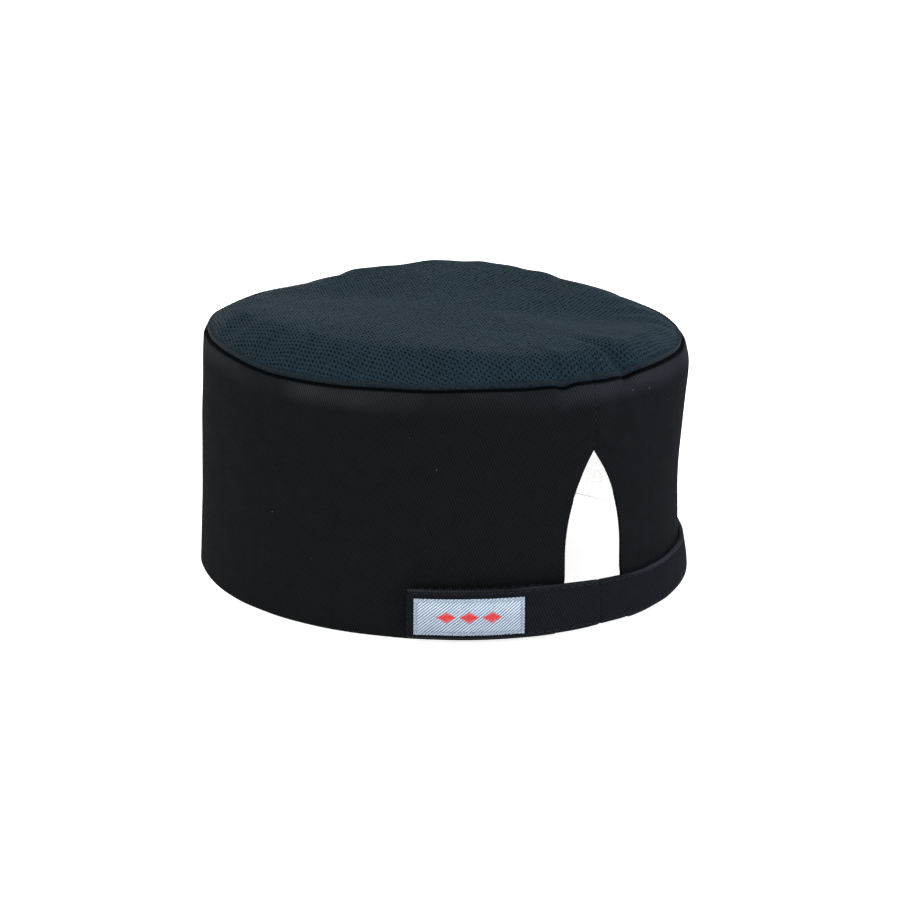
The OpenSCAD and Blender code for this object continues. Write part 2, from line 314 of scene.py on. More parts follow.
@dataclass
class CrownForm:
    """The domed top. A flat share goes from 0 in the middle of the crown's cut to 1 at its seam.

    The swells are shares: what the shoulder's reach loses or gains, and what the height does.
    """

    SHOULDERS = Swell(-0.42, -8, 36), Swell(-0.4, 120, 24), Swell(-0.25, -60, 20)
    HEIGHTS = Swell(0.33, -140, 26), Swell(-0.27, 160, 24), Swell(0.3, 68, 48), Swell(-0.38, -56, 26)
    GATHERS = Swell(0.3, -2, 10)

    wall: CapForm
    rise: float
    fullness: float = 1.15
    shoulder: float = 0.23
    bend: float = 1.5
    tuck: float = 0.3 * MM
    steps: int = 240
    lengths: list[float] = field(default_factory=list)
    profile: list[tuple[float, float]] = field(default_factory=list)

    def __post_init__(self) -> None:
        """Walks the dome's profile from its middle to its seam and measures it."""
        radius = sum(self.wall.seam_half) / 2
        for i in range(self.steps + 1):
            share = math.sin(math.pi / 2 * i / self.steps)
            self.profile.append((share, self.rise * self.climb(share, self.shoulder)))
        self.lengths = [0.0]
        for (s0, h0), (s1, h1) in zip(self.profile, self.profile[1:]):
            self.lengths.append(self.lengths[-1] + math.hypot((s1 - s0) * radius, h1 - h0))

    @property
    def flat_half(self) -> tuple[float, float]:
        """Measures the crown's cut before it was sewn.

        Returns:
            Half of its width and half of its length.
        """
        stretch = self.lengths[-1] / (sum(self.wall.seam_half) / 2)
        wide, long = self.wall.seam_half
        return wide * stretch, long * stretch

    def spot(self, turn: float, share: float, out: float) -> Vector:
        """A point on the crown.

        Args:
            turn: Where, in degrees round the cap.
            share: The flat share, from 0 in the middle to 1 at the seam.
            out: The distance above the crown's surface.

        Returns:
            The point.
        """
        reach = min(share, 1.0) * self.lengths[-1]
        i = min(bisect_right(self.lengths, reach) - 1, self.steps - 1)
        part = (reach - self.lengths[i]) / (self.lengths[i + 1] - self.lengths[i])
        (s0, h0), (s1, h1) = self.profile[i], self.profile[i + 1]
        scale = s0 + (s1 - s0) * part
        height = self.height(turn, scale)
        wide, long = self.wall.seam_half
        lean = Vector((h0 - h1, (s1 - s0) * (wide + long) / 2)).normalized()
        sine, cosine = math.sin(math.radians(turn)), math.cos(math.radians(turn))
        edge = ease((share - 0.55) / 0.45)
        aside = out * lean.x + edge * self.wall.relief(turn, self.wall.height) - self.tuck * edge ** 4
        return Vector((
            scale * wide * sine + aside * sine,
            scale * long * cosine + aside * cosine,
            self.wall.height + height + out * lean.y + edge * self.wall.lift(turn, self.wall.height)
            + self.wave(turn, share),
        ))

    def height(self, turn: float, scale: float) -> float:
        """The crown's height above the seam: its shoulder is broad at the wearer's left and tight behind.

        Args:
            turn: Where, in degrees round the cap.
            scale: Where, as a share of the way from the middle to the seam.

        Returns:
            The height, in metres.
        """
        reach = self.shoulder * (1 + swells(turn, *self.SHOULDERS))
        fuller = (swells(turn, *self.HEIGHTS) - 0.22) * ease(scale / 0.6)
        return self.rise * self.fullness * (1 + fuller) * self.climb(scale, reach)

    def climb(self, scale: float, reach: float) -> float:
        """How high the crown has climbed: 0 at the seam, and 1 from the shoulder's end, reach further in."""
        return 1 - (1 - min(1.0, max(0.0, (1 - scale) / reach))) ** self.bend

    def wave(self, turn: float, share: float) -> float:
        """How far the slack crown stands above its plain shape.

        Args:
            turn: Where, in degrees round the cap.
            share: The flat share, from 0 in the middle to 1 at the seam.

        Returns:
            The distance up, in metres.
        """
        angle = math.radians(turn)
        place = Vector((share * math.sin(angle), share * math.cos(angle), 0))
        loose = ease((1 - share) / 0.09)
        soft = 0.7 * noise.noise(place * 2.3 + Vector((4, 0, 1)))
        pucker = 1.7 * ripple(turn, 7.5, 2 * share) * ease((share - 0.66) / 0.24)
        gathers = self.GATHERS.at(turn) * math.sin(turn * 2.3) * bell(share, 0.94, 0.05)
        sag = -1.4 * (1 - ease(share / 0.8))
        return ((soft + pucker) * loose + gathers + sag) * MM


# ---------------------------------------------------------------- finishes


def add(
    tree: bpy.types.NodeTree, kind: str, inputs: dict[str | int, object] | None = None, **settings: object
) -> bpy.types.Node:
    """Adds a shader node.

    Args:
        tree: The material's tree.
        kind: The node's type, without its "ShaderNode".
        inputs: For each input, by name or number, a socket to link it to or a value.
        settings: The node's own properties.

    Returns:
        The node.
    """
    node = tree.nodes.new("ShaderNode" + kind)
    for name, value in settings.items():
        setattr(node, name, value)
    for key, value in (inputs or {}).items():
        if isinstance(value, bpy.types.NodeSocket):
            tree.links.new(value, node.inputs[key])
        else:
            node.inputs[key].default_value = value
    return node


def wave_scale(pitch: float) -> float:
    """The Scale at which a Wave texture's bands lie pitch apart."""
    return 2 * math.pi / (20 * pitch)


class Coordinates(Enum):
    """Where a finish's pattern lies."""

    CLOTH = "UV"
    OBJECT = "Object"


@dataclass(frozen=True)
class Finish:
    """What every finish has: a fibre colour in the hollows and on the raised threads, and its sheen."""

    name: str
    dark: str
    light: str
    roughness: float = 0.9
    specular: float = 0.06
    sheen: float = 0.05
    sheen_tint: str = "8a94a6"
    glow: float = 0.0
    coordinates: Coordinates = Coordinates.CLOTH

    def material(self) -> bpy.types.Material:
        """Makes the finish's material.

        Returns:
            The material, which pieces of the same finish share.
        """
        made = bpy.data.materials.get(self.name)
        if made:
            return made
        made = bpy.data.materials.new(self.name)
        made.use_nodes = True
        tree = made.node_tree
        shader = tree.nodes["Principled BSDF"]
        shader.inputs["Roughness"].default_value = self.roughness
        shader.inputs["Specular IOR Level"].default_value = self.specular
        shader.inputs["Sheen Weight"].default_value = self.sheen
        shader.inputs["Sheen Roughness"].default_value = 0.55
        shader.inputs["Sheen Tint"].default_value = linear(self.sheen_tint)
        # Painted light: a finish with glow emits its own light colour, though it is no lamp.
        shader.inputs["Emission Color"].default_value = linear(self.light)
        shader.inputs["Emission Strength"].default_value = self.glow
        place = add(tree, "TexCoord").outputs[self.coordinates.value]
        self.dress(tree, shader, place)
        return made

    def dress(self, tree: bpy.types.NodeTree, shader: bpy.types.Node, place: bpy.types.NodeSocket) -> None:
        """Links the finish's own pattern to the shader: each finish has its own.

        Args:
            tree: The material's tree.
            shader: Its Principled shader.
            place: The socket that says where a point of the pattern lies.
        """
        raise NotImplementedError

    def paint(
        self, tree: bpy.types.NodeTree, shader: bpy.types.Node, height: bpy.types.NodeSocket,
        wear_and_painted_light: bpy.types.NodeSocket, strength: float, depth: float,
    ) -> None:
        """Colours the shader from a pattern's height and bumps it.

        Args:
            tree: The material's tree.
            shader: Its Principled shader.
            height: The pattern's height, from 0 in the hollows to 1 on the threads.
            wear_and_painted_light: A slow noise that makes the colour paler and darker here and there; in the
                twill it also carries painted highlight and painted shade, and in the satin painted light and
                shade.
            strength: The bump's strength.
            depth: The bump's depth in metres.
        """
        ramp = add(
            tree, "MixRGB", {"Fac": height, "Color1": linear(self.dark), "Color2": linear(self.light)})
        # The colour is scaled by this noise, together with any painted light and shade that the finish has
        # added to it.
        wear_and_light_scale = add(tree, "MapRange", {"Value": wear_and_painted_light, "To Min": 0.82, "To Max": 1.2}, clamp=False)
        worn_and_lit = add(tree, "VectorMath", {0: ramp.outputs[0], "Scale": wear_and_light_scale.outputs[0]}, operation="SCALE")
        bump = add(tree, "Bump", {"Height": height, "Strength": strength, "Distance": depth})
        tree.links.new(worn_and_lit.outputs[0], shader.inputs["Base Color"])
        tree.links.new(bump.outputs[0], shader.inputs["Normal"])


@dataclass(frozen=True)
class Twill(Finish):
    """Polycotton drill: steep diagonal ribs with soft fuzz, drawn a little coarser than the real 0.6 mm.

    Painted highlights make the cloth paler in patches along folds, which are heights, and painted shade
    darkens it below the height of its crevice.
    """

    rib: float = 0.95 * MM
    slope: float = 68
    folds: tuple[float, ...] = ()
    fold_reach: float = 0.7 * MM
    fold_highlight_strength: float = 5.0
    crevice: float | None = None

    def dress(self, tree: bpy.types.NodeTree, shader: bpy.types.Node, place: bpy.types.NodeSocket) -> None:
        """Draws the ribs, the floats that cross them, the fuzz and fading of cotton long in use, and the
        painted highlights and painted shade.

        Args:
            tree: The material's tree.
            shader: Its Principled shader.
            place: The socket that says where a point of the pattern lies.
        """
        turned = add(tree, "Mapping", {0: place, "Rotation": (0, 0, math.radians(90 - self.slope))})
        slow = add(tree, "TexNoise", {"Vector": place, "Scale": 160.0, "Detail": 2.0})
        ribs = add(
            tree, "TexWave",
            {"Vector": turned.outputs[0], "Scale": wave_scale(self.rib), "Distortion": 0.9, "Detail": 1.0,
             "Detail Scale": 1.2},
            bands_direction="X",
        )
        floats = add(
            tree, "TexWave",
            {"Vector": turned.outputs[0], "Scale": wave_scale(0.7 * self.rib), "Distortion": 1.5},
            bands_direction="Y",
        )
        rope = add(tree, "Math", {0: floats.outputs["Fac"], 1: 0.35, 2: 0.65}, operation="MULTIPLY_ADD")
        woven = add(tree, "Math", {0: ribs.outputs["Fac"], 1: rope.outputs[0]}, operation="MULTIPLY")
        fuzz = add(tree, "TexNoise", {"Vector": place, "Scale": 1800.0, "Detail": 3.0, "Roughness": 0.7})
        height = add(tree, "Mix", {0: 0.3, 2: woven.outputs[0], 3: fuzz.outputs["Fac"]})
        wear_and_painted_light = slow.outputs["Fac"]
        up = add(tree, "SeparateXYZ", {0: place}).outputs["Y"]
        clouds = add(tree, "TexNoise", {"Vector": place, "Scale": 21.0, "Detail": 2.0})
        patches = add(tree, "MapRange", {"Value": clouds.outputs["Fac"], "From Min": 0.4, "From Max": 0.66,
                                         "To Min": 0.3, "To Max": 1.7})
        # Painted highlight: the cloth is made paler along each fold's height, in patches, where the turning
        # cloth catches the light.
        for fold in self.folds:
            away = add(tree, "Math", {0: up, 1: fold}, operation="SUBTRACT")
            near = add(tree, "Math", {0: away.outputs[0]}, operation="ABSOLUTE")
            pale = add(tree, "MapRange", {"Value": near.outputs[0], "From Max": self.fold_reach,
                                          "To Min": self.fold_highlight_strength, "To Max": 0.0},
                       interpolation_type="SMOOTHSTEP")
            wear_and_painted_light = add(tree, "Math", {0: pale.outputs[0], 1: patches.outputs[0], 2: wear_and_painted_light},
                       operation="MULTIPLY_ADD").outputs[0]
        # Painted shade: the cloth is darkened just under the crevice of the crown seam.
        if self.crevice:
            limit = add(
                tree, "MapRange",
                {"Value": up, "From Min": self.crevice - 1.4 * MM, "From Max": self.crevice - 0.6 * MM,
                 "To Min": 6.0, "To Max": -1.6},
            )
            wear_and_painted_light = add(tree, "Math", {0: wear_and_painted_light, 1: limit.outputs[0]}, operation="MINIMUM").outputs[0]
        self.paint(tree, shader, height.outputs[0], wear_and_painted_light, 0.75, 0.35 * MM)


@dataclass(frozen=True)
class PlainWeave(Finish):
    """Plain-woven cloth or tape: warp and weft threads that cross one by one."""

    thread: float = 0.5 * MM

    def dress(self, tree: bpy.types.NodeTree, shader: bpy.types.Node, place: bpy.types.NodeSocket) -> None:
        """Draws the two sets of threads.

        Args:
            tree: The material's tree.
            shader: Its Principled shader.
            place: The socket that says where a point of the pattern lies.
        """
        slow = add(tree, "TexNoise", {"Vector": place, "Scale": 60.0, "Detail": 2.0})
        sets = [
            add(tree, "TexWave", {"Vector": place, "Scale": wave_scale(self.thread), "Distortion": 0.6},
                bands_direction=axis)
            for axis in ("X", "Y")
        ]
        height = add(
            tree, "Math", {0: sets[0].outputs["Fac"], 1: sets[1].outputs["Fac"]}, operation="MULTIPLY")
        self.paint(tree, shader, height.outputs[0], slow.outputs["Fac"], 0.5, 0.15 * MM)


@dataclass(frozen=True)
class Knit(Finish):
    """Warp-knitted polyester: fine wales that catch the light on each yarn."""

    wale: float = 0.42 * MM

    def dress(self, tree: bpy.types.NodeTree, shader: bpy.types.Node, place: bpy.types.NodeSocket) -> None:
        """Draws the stitches of the yarns and a slow change of shade across the cloth.

        Args:
            tree: The material's tree.
            shader: Its Principled shader.
            place: The socket that says where a point of the pattern lies.
        """
        slow = add(tree, "TexNoise", {"Vector": place, "Scale": 28.0, "Detail": 2.0})
        loops = add(tree, "TexVoronoi", {"Vector": place, "Scale": 1 / self.wale, "Randomness": 0.6})
        yarn = add(tree, "MapRange", {"Value": loops.outputs["Distance"], "From Max": 0.8,
                                      "To Min": 1.0, "To Max": 0.0})
        self.paint(tree, shader, yarn.outputs[0], slow.outputs["Fac"], 0.6, 0.2 * MM)


@dataclass(frozen=True)
class Pile(Finish):
    """Looped or matted fibre, such as terry, brushed tape or non-woven interfacing."""

    tuft: float = 1.1 * MM
    depth: float = 0.5 * MM

    def dress(self, tree: bpy.types.NodeTree, shader: bpy.types.Node, place: bpy.types.NodeSocket) -> None:
        """Draws rounded tufts with loose fibres over them.

        Args:
            tree: The material's tree.
            shader: Its Principled shader.
            place: The socket that says where a point of the pattern lies.
        """
        slow = add(tree, "TexNoise", {"Vector": place, "Scale": 70.0, "Detail": 2.0})
        tufts = add(tree, "TexVoronoi", {"Vector": place, "Scale": 1 / self.tuft}, feature="SMOOTH_F1")
        fibres = add(tree, "TexNoise", {"Vector": place, "Scale": 2400.0, "Detail": 4.0})
        domes = add(tree, "MapRange", {"Value": tufts.outputs["Distance"], "From Max": 0.75,
                                       "To Min": 1.0, "To Max": 0.0})
        height = add(tree, "Mix", {0: 0.35, 2: domes.outputs[0], 3: fibres.outputs["Fac"]})
        self.paint(tree, shader, height.outputs[0], slow.outputs["Fac"], 0.8, self.depth)


@dataclass(frozen=True)
class Thread(Finish):
    """Sewing or weaving thread: two twisted strands along each stitch."""

    twist: float = 0.35 * MM

    def dress(self, tree: bpy.types.NodeTree, shader: bpy.types.Node, place: bpy.types.NodeSocket) -> None:
        """Draws the twist of the strands.

        Args:
            tree: The material's tree.
            shader: Its Principled shader.
            place: The socket that says where a point of the pattern lies.
        """
        slow = add(tree, "TexNoise", {"Vector": place, "Scale": 500.0, "Detail": 1.0})
        turned = add(tree, "Mapping", {0: place, "Rotation": (0, 0, math.radians(35))})
        strands = add(tree, "TexWave", {"Vector": turned.outputs[0], "Scale": wave_scale(self.twist)})
        self.paint(tree, shader, strands.outputs["Fac"], slow.outputs["Fac"], 0.4, 0.1 * MM)


@dataclass(frozen=True)
class Satin(Finish):
    """Woven satin ribbon: shiny floats with a diagonal of darker binding points."""

    float_pitch: float = 0.85 * MM
    slope: float = 42
    painted_light_span: tuple[float, float] = (0.0, 0.0)

    def dress(self, tree: bpy.types.NodeTree, shader: bpy.types.Node, place: bpy.types.NodeSocket) -> None:
        """Draws rows of beaded floats along the diagonal, with painted light towards the upper edge and
        painted shade towards the lower edge.

        Args:
            tree: The material's tree.
            shader: Its Principled shader.
            place: The socket that says where a point of the pattern lies.
        """
        slow = add(tree, "TexNoise", {"Vector": place, "Scale": 260.0, "Detail": 2.0})
        turned = add(tree, "Mapping", {0: place, "Rotation": (0, 0, -math.radians(90 - self.slope))})
        rows, beads = (
            add(tree, "TexWave", {"Vector": turned.outputs[0], "Scale": wave_scale(pitch), "Distortion": 1.2,
                                  "Detail": 1.0, "Detail Scale": 2.0}, bands_direction=axis)
            for pitch, axis in ((self.float_pitch, "X"), (0.8 * self.float_pitch, "Y"))
        )
        rounded_beads = add(tree, "Math", {0: beads.outputs["Fac"], 1: 0.5, 2: 0.5}, operation="MULTIPLY_ADD")
        height = add(
            tree, "Math", {0: rows.outputs["Fac"], 1: rounded_beads.outputs[0]}, operation="MULTIPLY")
        wear_and_painted_light = slow.outputs["Fac"]
        # Painted light and shade: the colour is made lighter towards the upper edge and darker towards the
        # lower edge.
        if self.painted_light_span[1] > self.painted_light_span[0]:
            up = add(tree, "SeparateXYZ", {0: place}).outputs["Y"]
            painted_light_gradient = add(tree, "MapRange", {"Value": up, "From Min": self.painted_light_span[0], "From Max": self.painted_light_span[1],
                                           "To Min": -0.45, "To Max": 0.6})
            wear_and_painted_light = add(tree, "Math", {0: wear_and_painted_light, 1: painted_light_gradient.outputs[0]}, operation="ADD").outputs[0]
        self.paint(tree, shader, height.outputs[0], wear_and_painted_light, 0.6, 0.2 * MM)


class Finishes:
    """The cap's finishes, each named for the real material."""

    # Polyester-cotton twill: a deep, dry black with steep fine ridges that catch a little grey light. It has
    # a painted highlight in patches where it turns towards the crown seam, and painted shade in the crevice
    # there.
    TWILL = Twill("black_polycotton_twill", "090a0a", "191b1d", roughness=0.92, specular=0.012, sheen=0.01,
                  sheen_tint="4a5c84", folds=(86.6 * MM,), fold_reach=7.5 * MM, fold_highlight_strength=3.6,
                  crevice=89 * MM)
    # The same twill on the strap, with a thin painted highlight along its two folded edges, where they catch
    # the light.
    STRAP_TWILL = Twill("black_twill_strap", "0a0b0b", "1d1f22", roughness=0.92, specular=0.012, sheen=0.012,
                        sheen_tint="4a5c84", folds=(1.9 * MM, 19.7 * MM))
    # Cotton poplin: a flat soft black, with an even grain and no direction.
    LINING = PlainWeave("black_poplin_lining", "0a0b0b", "1b1c1e", roughness=0.85, sheen=0.03)
    # Woven binding tape: a coarser grain than the poplin and a shade lighter.
    TAPE = PlainWeave("black_woven_tape", "0b0c0c", "222325", thread=0.7 * MM, roughness=0.8, sheen=0.03)
    # Nonwoven interfacing: a papery off-white, seen only where an edge is opened.
    INTERFACING = Pile("stiff_nonwoven", "b9b9b2", "dcdcd6", tuft=1.6 * MM, depth=0.15 * MM, sheen=0.0)
    # Polyester warp-knit mesh: worn black turned blue-green, hairy, its strands paler than its eyelets.
    NET = Knit("black_mesh_yarn", "0a151b", "223740", roughness=0.75, sheen=0.03, sheen_tint="7d97a3")
    # The same mesh folded double at the seam: the eyelets close up and read as one darker, even cord.
    EDGE = Knit("black_mesh_fold", "090e11", "1d2a31", roughness=0.8, sheen=0.03, sheen_tint="7d97a3")
    # The mesh's ground: a solid violet-black sheet under the net, painted shade that stands for the shade
    # seen at the bottom of each eyelet.
    EYELET_SHADE_GROUND = Knit("mesh_ground_painted_shade", "14161f", "282c38", roughness=0.9, specular=0.02, sheen=0.01)
    # Bleached cotton terry: white loops that glow a little, which is painted light that keeps them bright in
    # the cap's shade.
    TERRY = Pile("bleached_cotton_terry", "dededa", "ffffff", roughness=0.95, sheen=0.2, sheen_tint="ffffff",
                 glow=0.44)
    # Brushed loop tape: soft black nylon nap, with a dull bloom across it.
    LOOP = Pile("brushed_loop_tape", "0b0c0c", "202124", tuft=0.5 * MM, sheen=0.1)
    # Moulded hook tape: hard nylon, glossier than any cloth beside it.
    HOOK = PlainWeave("nylon_hook_tape", "0d0e0f", "232427", thread=0.9 * MM, roughness=0.45, sheen=0.0)
    # Spun polyester thread: black, twisted, only just lighter than the twill that it sinks into.
    BLACK_THREAD = Thread("black_polyester_thread", "0c0d0e", "2a2d31", roughness=0.6, sheen=0.02)
    # The same thread in white, for the sweatband.
    WHITE_THREAD = Thread("white_polyester_thread", "b4b4ae", "ecece6", roughness=0.6, sheen=0.1)
    # Rayon overlock thread: blue-grey, silky, with darker gaps between its turns.
    SILVER_THREAD = Thread("silver_rayon_thread", "46536a", "c6d0d8", roughness=0.42, sheen=0.05)
    # Rayon satin stitch: a warm saturated red that shines along the threads.
    RED_THREAD = Thread("red_rayon_thread", "b3191d", "ef4640", roughness=0.42, sheen=0.1)
    # Woven satin label: silvery floats in slanting beaded rows, whiter above and bluer below: painted light
    # above and painted shade below.
    SILVER_SATIN = Satin("silver_satin_ribbon", "485a6e", "d8e1ea", roughness=0.42, sheen=0.05,
                         painted_light_span=(3.4 * MM, 16.8 * MM))
    # Polyester satin ribbon: a smooth clean white with a faint slant.
    CARE_SATIN = Satin("white_satin_ribbon", "c9c9c4", "f6f6f2", roughness=0.4, sheen=0.1)
    # Loose cotton fibres: a dull pale grey, brightest where one stands off the cloth.
    LINT = Pile("pale_cotton_lint", "6d7072", "b4b6b6", tuft=0.3 * MM, coordinates=Coordinates.OBJECT)


# ---------------------------------------------------------------- sewing


def rounded(
    mesh: bmesh.types.BMesh, radius: float, but: Callable[[Vector], bool] | None = None, corner: float = 0.7
) -> None:
    """Rounds a cut's sharp edges.

    Args:
        mesh: The cut, still flat.
        radius: How far the rounding reaches from each edge.
        but: Says which points keep a sharp edge.
        corner: The angle in radians from which an edge counts as sharp.
    """
    edges = [
        e for e in mesh.edges
        if e.calc_face_angle(0) > corner and not (but and all(but(v.co) for v in e.verts))
    ]
    bmesh.ops.bevel(
        mesh, geom=edges, offset=radius, offset_type="OFFSET", affect="EDGES", segments=2, profile=0.5,
        material=-1)


def thicken(mesh: bmesh.types.BMesh, outer: Height) -> None:
    """Gives a flat cut its thickness.

    Args:
        mesh: The cut, one layer of faces.
        outer: Where its outer face lies.
    """
    raised = bmesh.ops.extrude_face_region(mesh, geom=mesh.faces[:])["geom"]
    for vert in (g for g in raised if isinstance(g, bmesh.types.BMVert)):
        vert.co.z = outer(vert.co.x, vert.co.y)


def lay_out(mesh: bmesh.types.BMesh) -> None:
    """Gives a flat cut its UV map: metres round and up, so that a weave keeps its scale on the cloth.

    Args:
        mesh: The cut.
    """
    layer = mesh.loops.layers.uv.new("cloth")
    for face in mesh.faces:
        for loop in face.loops:
            loop[layer].uv = loop.vert.co.xy


def sewn(
    mesh: bmesh.types.BMesh, name: str, finish: Finish, place: Place, mirrored: bool = True
) -> bpy.types.Object:
    """Wraps a flat cut on its form and makes it an object.

    Args:
        mesh: The cut, which is used up.
        name: The piece's name.
        finish: Its finish.
        place: Puts a flat point on the form.
        mirrored: Whether that turns the cut inside out, as wrapping on the wall does.

    Returns:
        The piece.
    """
    if not len(mesh.loops.layers.uv):
        lay_out(mesh)
    for vert in mesh.verts:
        vert.co = place(vert.co)
    if mirrored:
        bmesh.ops.reverse_faces(mesh, faces=mesh.faces[:])
    for face in mesh.faces:
        face.smooth = True
    data = bpy.data.meshes.new(name)
    mesh.to_mesh(data)
    mesh.free()
    data.materials.append(finish.material())
    piece = bpy.data.objects.new(name, data)
    bpy.context.scene.collection.objects.link(piece)
    return piece


@dataclass
class Cut:
    """A rectangle of cloth, or one that place shapes, cut flat with a thickness."""

    x: tuple[float, float]
    y: tuple[float, float]
    inner: Height
    outer: Height
    columns: int
    rows: int
    radius: float = 0.2 * MM
    place: Spread | None = None
    sharp: Callable[[Vector], bool] | None = None
    closed: bool = False

    def flat(self) -> bmesh.types.BMesh:
        """Cuts the cloth.

        Returns:
            A closed slab, flat but for its thickness.
        """
        mesh = bmesh.new()
        bmesh.ops.create_grid(mesh, x_segments=self.columns, y_segments=self.rows, size=0.5)
        for vert in mesh.verts:
            u, v = vert.co.x + 0.5, vert.co.y + 0.5
            x, y = self.place(u, v) if self.place else (
                self.x[0] + (self.x[1] - self.x[0]) * u, self.y[0] + (self.y[1] - self.y[0]) * v)
            vert.co = (x, y, self.inner(x, y))
        if self.closed:
            bmesh.ops.remove_doubles(mesh, verts=mesh.verts, dist=0.001 * MM)
        mesh.normal_update()
        if mesh.faces[:][0].normal.z < 0:
            bmesh.ops.reverse_faces(mesh, faces=mesh.faces[:])
        thicken(mesh, self.outer)
        if self.radius:
            rounded(mesh, self.radius, self.sharp)
        return mesh


def level(height: float) -> Height:
    """A face that lies the same distance out everywhere."""
    return lambda x, y: height


@dataclass
class Needle:
    """Sews rows of single stitches: each is a thread that comes up, lies on the cloth and goes down again."""

    length: float = 2.6 * MM
    gap: float = 0.55 * MM
    thick: float = 0.2 * MM
    sides: int = 6
    sunk: float = 0.35

    def stitch(self, mesh: bmesh.types.BMesh, middle: Vector, angle: float, length: float) -> None:
        """Adds one stitch.

        Args:
            mesh: The row that it joins.
            middle: Its middle on the cloth's face, flat.
            angle: Its direction, in radians from the x axis.
            length: Its length.
        """
        size = Matrix.Diagonal((length / 2, self.thick, self.thick * 0.9, 1))
        raised = middle + Vector((0, 0, self.thick * (0.9 - 2 * self.sunk)))
        bmesh.ops.create_uvsphere(
            mesh, u_segments=self.sides, v_segments=5, radius=1,
            matrix=Matrix.Translation(raised) @ Matrix.Rotation(angle, 4, "Z") @ size
            @ Matrix.Rotation(math.pi / 2, 4, "Y"),
        )

    def row(
        self, mesh: bmesh.types.BMesh, start: tuple[float, float], end: tuple[float, float], face: Height
    ) -> None:
        """Adds a straight row of stitches.

        Args:
            mesh: The mesh that they join.
            start: Where the row starts, flat.
            end: Where it ends.
            face: The face that it lies on.
        """
        (x0, y0), (x1, y1) = start, end
        long = math.hypot(x1 - x0, y1 - y0)
        count = max(1, round(long / (self.length + self.gap)))
        angle = math.atan2(y1 - y0, x1 - x0)
        for i in range(count):
            share = (i + 0.5) / count
            x, y = x0 + (x1 - x0) * share, y0 + (y1 - y0) * share
            self.stitch(mesh, Vector((x, y, face(x, y))), angle, long / count - self.gap)


# ---------------------------------------------------------------- the cap's sub-assemblies


@dataclass
class Plies:
    """Where the band's plies lie, as distances out from its outer face."""

    twill: float = 0.7 * MM
    fold: float = 1.25 * MM
    fold_width: float = 1.2 * MM
    interfacing: tuple[float, float] = (-1.2 * MM, -0.8 * MM)
    lining: tuple[float, float] = (-1.9 * MM, -1.3 * MM)
    sweatband: tuple[float, float] = (-3.4 * MM, -2.0 * MM)
    binding: tuple[float, float] = (-2.7 * MM, -2.0 * MM)


@dataclass
class Span:
    """The stretch of the wall that a CAD node covers, flat."""

    x: tuple[float, float]
    y: tuple[float, float]


def span(form: CapForm, node: str) -> Span:
    """Measures a CAD node on the wall.

    Args:
        form: The wall.
        node: The node's name.

    Returns:
        How far it reaches round the rim and up.
    """
    xs, ys = [], []
    for vert in frame["nodes"][node].data.vertices:
        wide, long = form.half(vert.co.z)
        xs.append(form.x_at(math.degrees(math.atan2(vert.co.x / wide, vert.co.y / long))))
        ys.append(vert.co.z)
    return Span((min(xs), max(xs)), (min(ys), max(ys)))


def report(
    piece: bpy.types.Object, *nodes: str, body: str | None = "cap", slot: str | None = None
) -> bpy.types.Object:
    """Puts a finished piece in the frame and logs it.

    Args:
        piece: The piece.
        nodes: The CAD nodes that it stands for.
        body: The body that it rides on, or None if it bends between two.
        slot: The record's material slot, which is not used.

    Returns:
        The piece.
    """
    if body:
        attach(piece, body)
    if nodes:
        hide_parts(*nodes)
    LOG.info("%s: %d faces", piece.name, len(piece.data.polygons))
    return piece


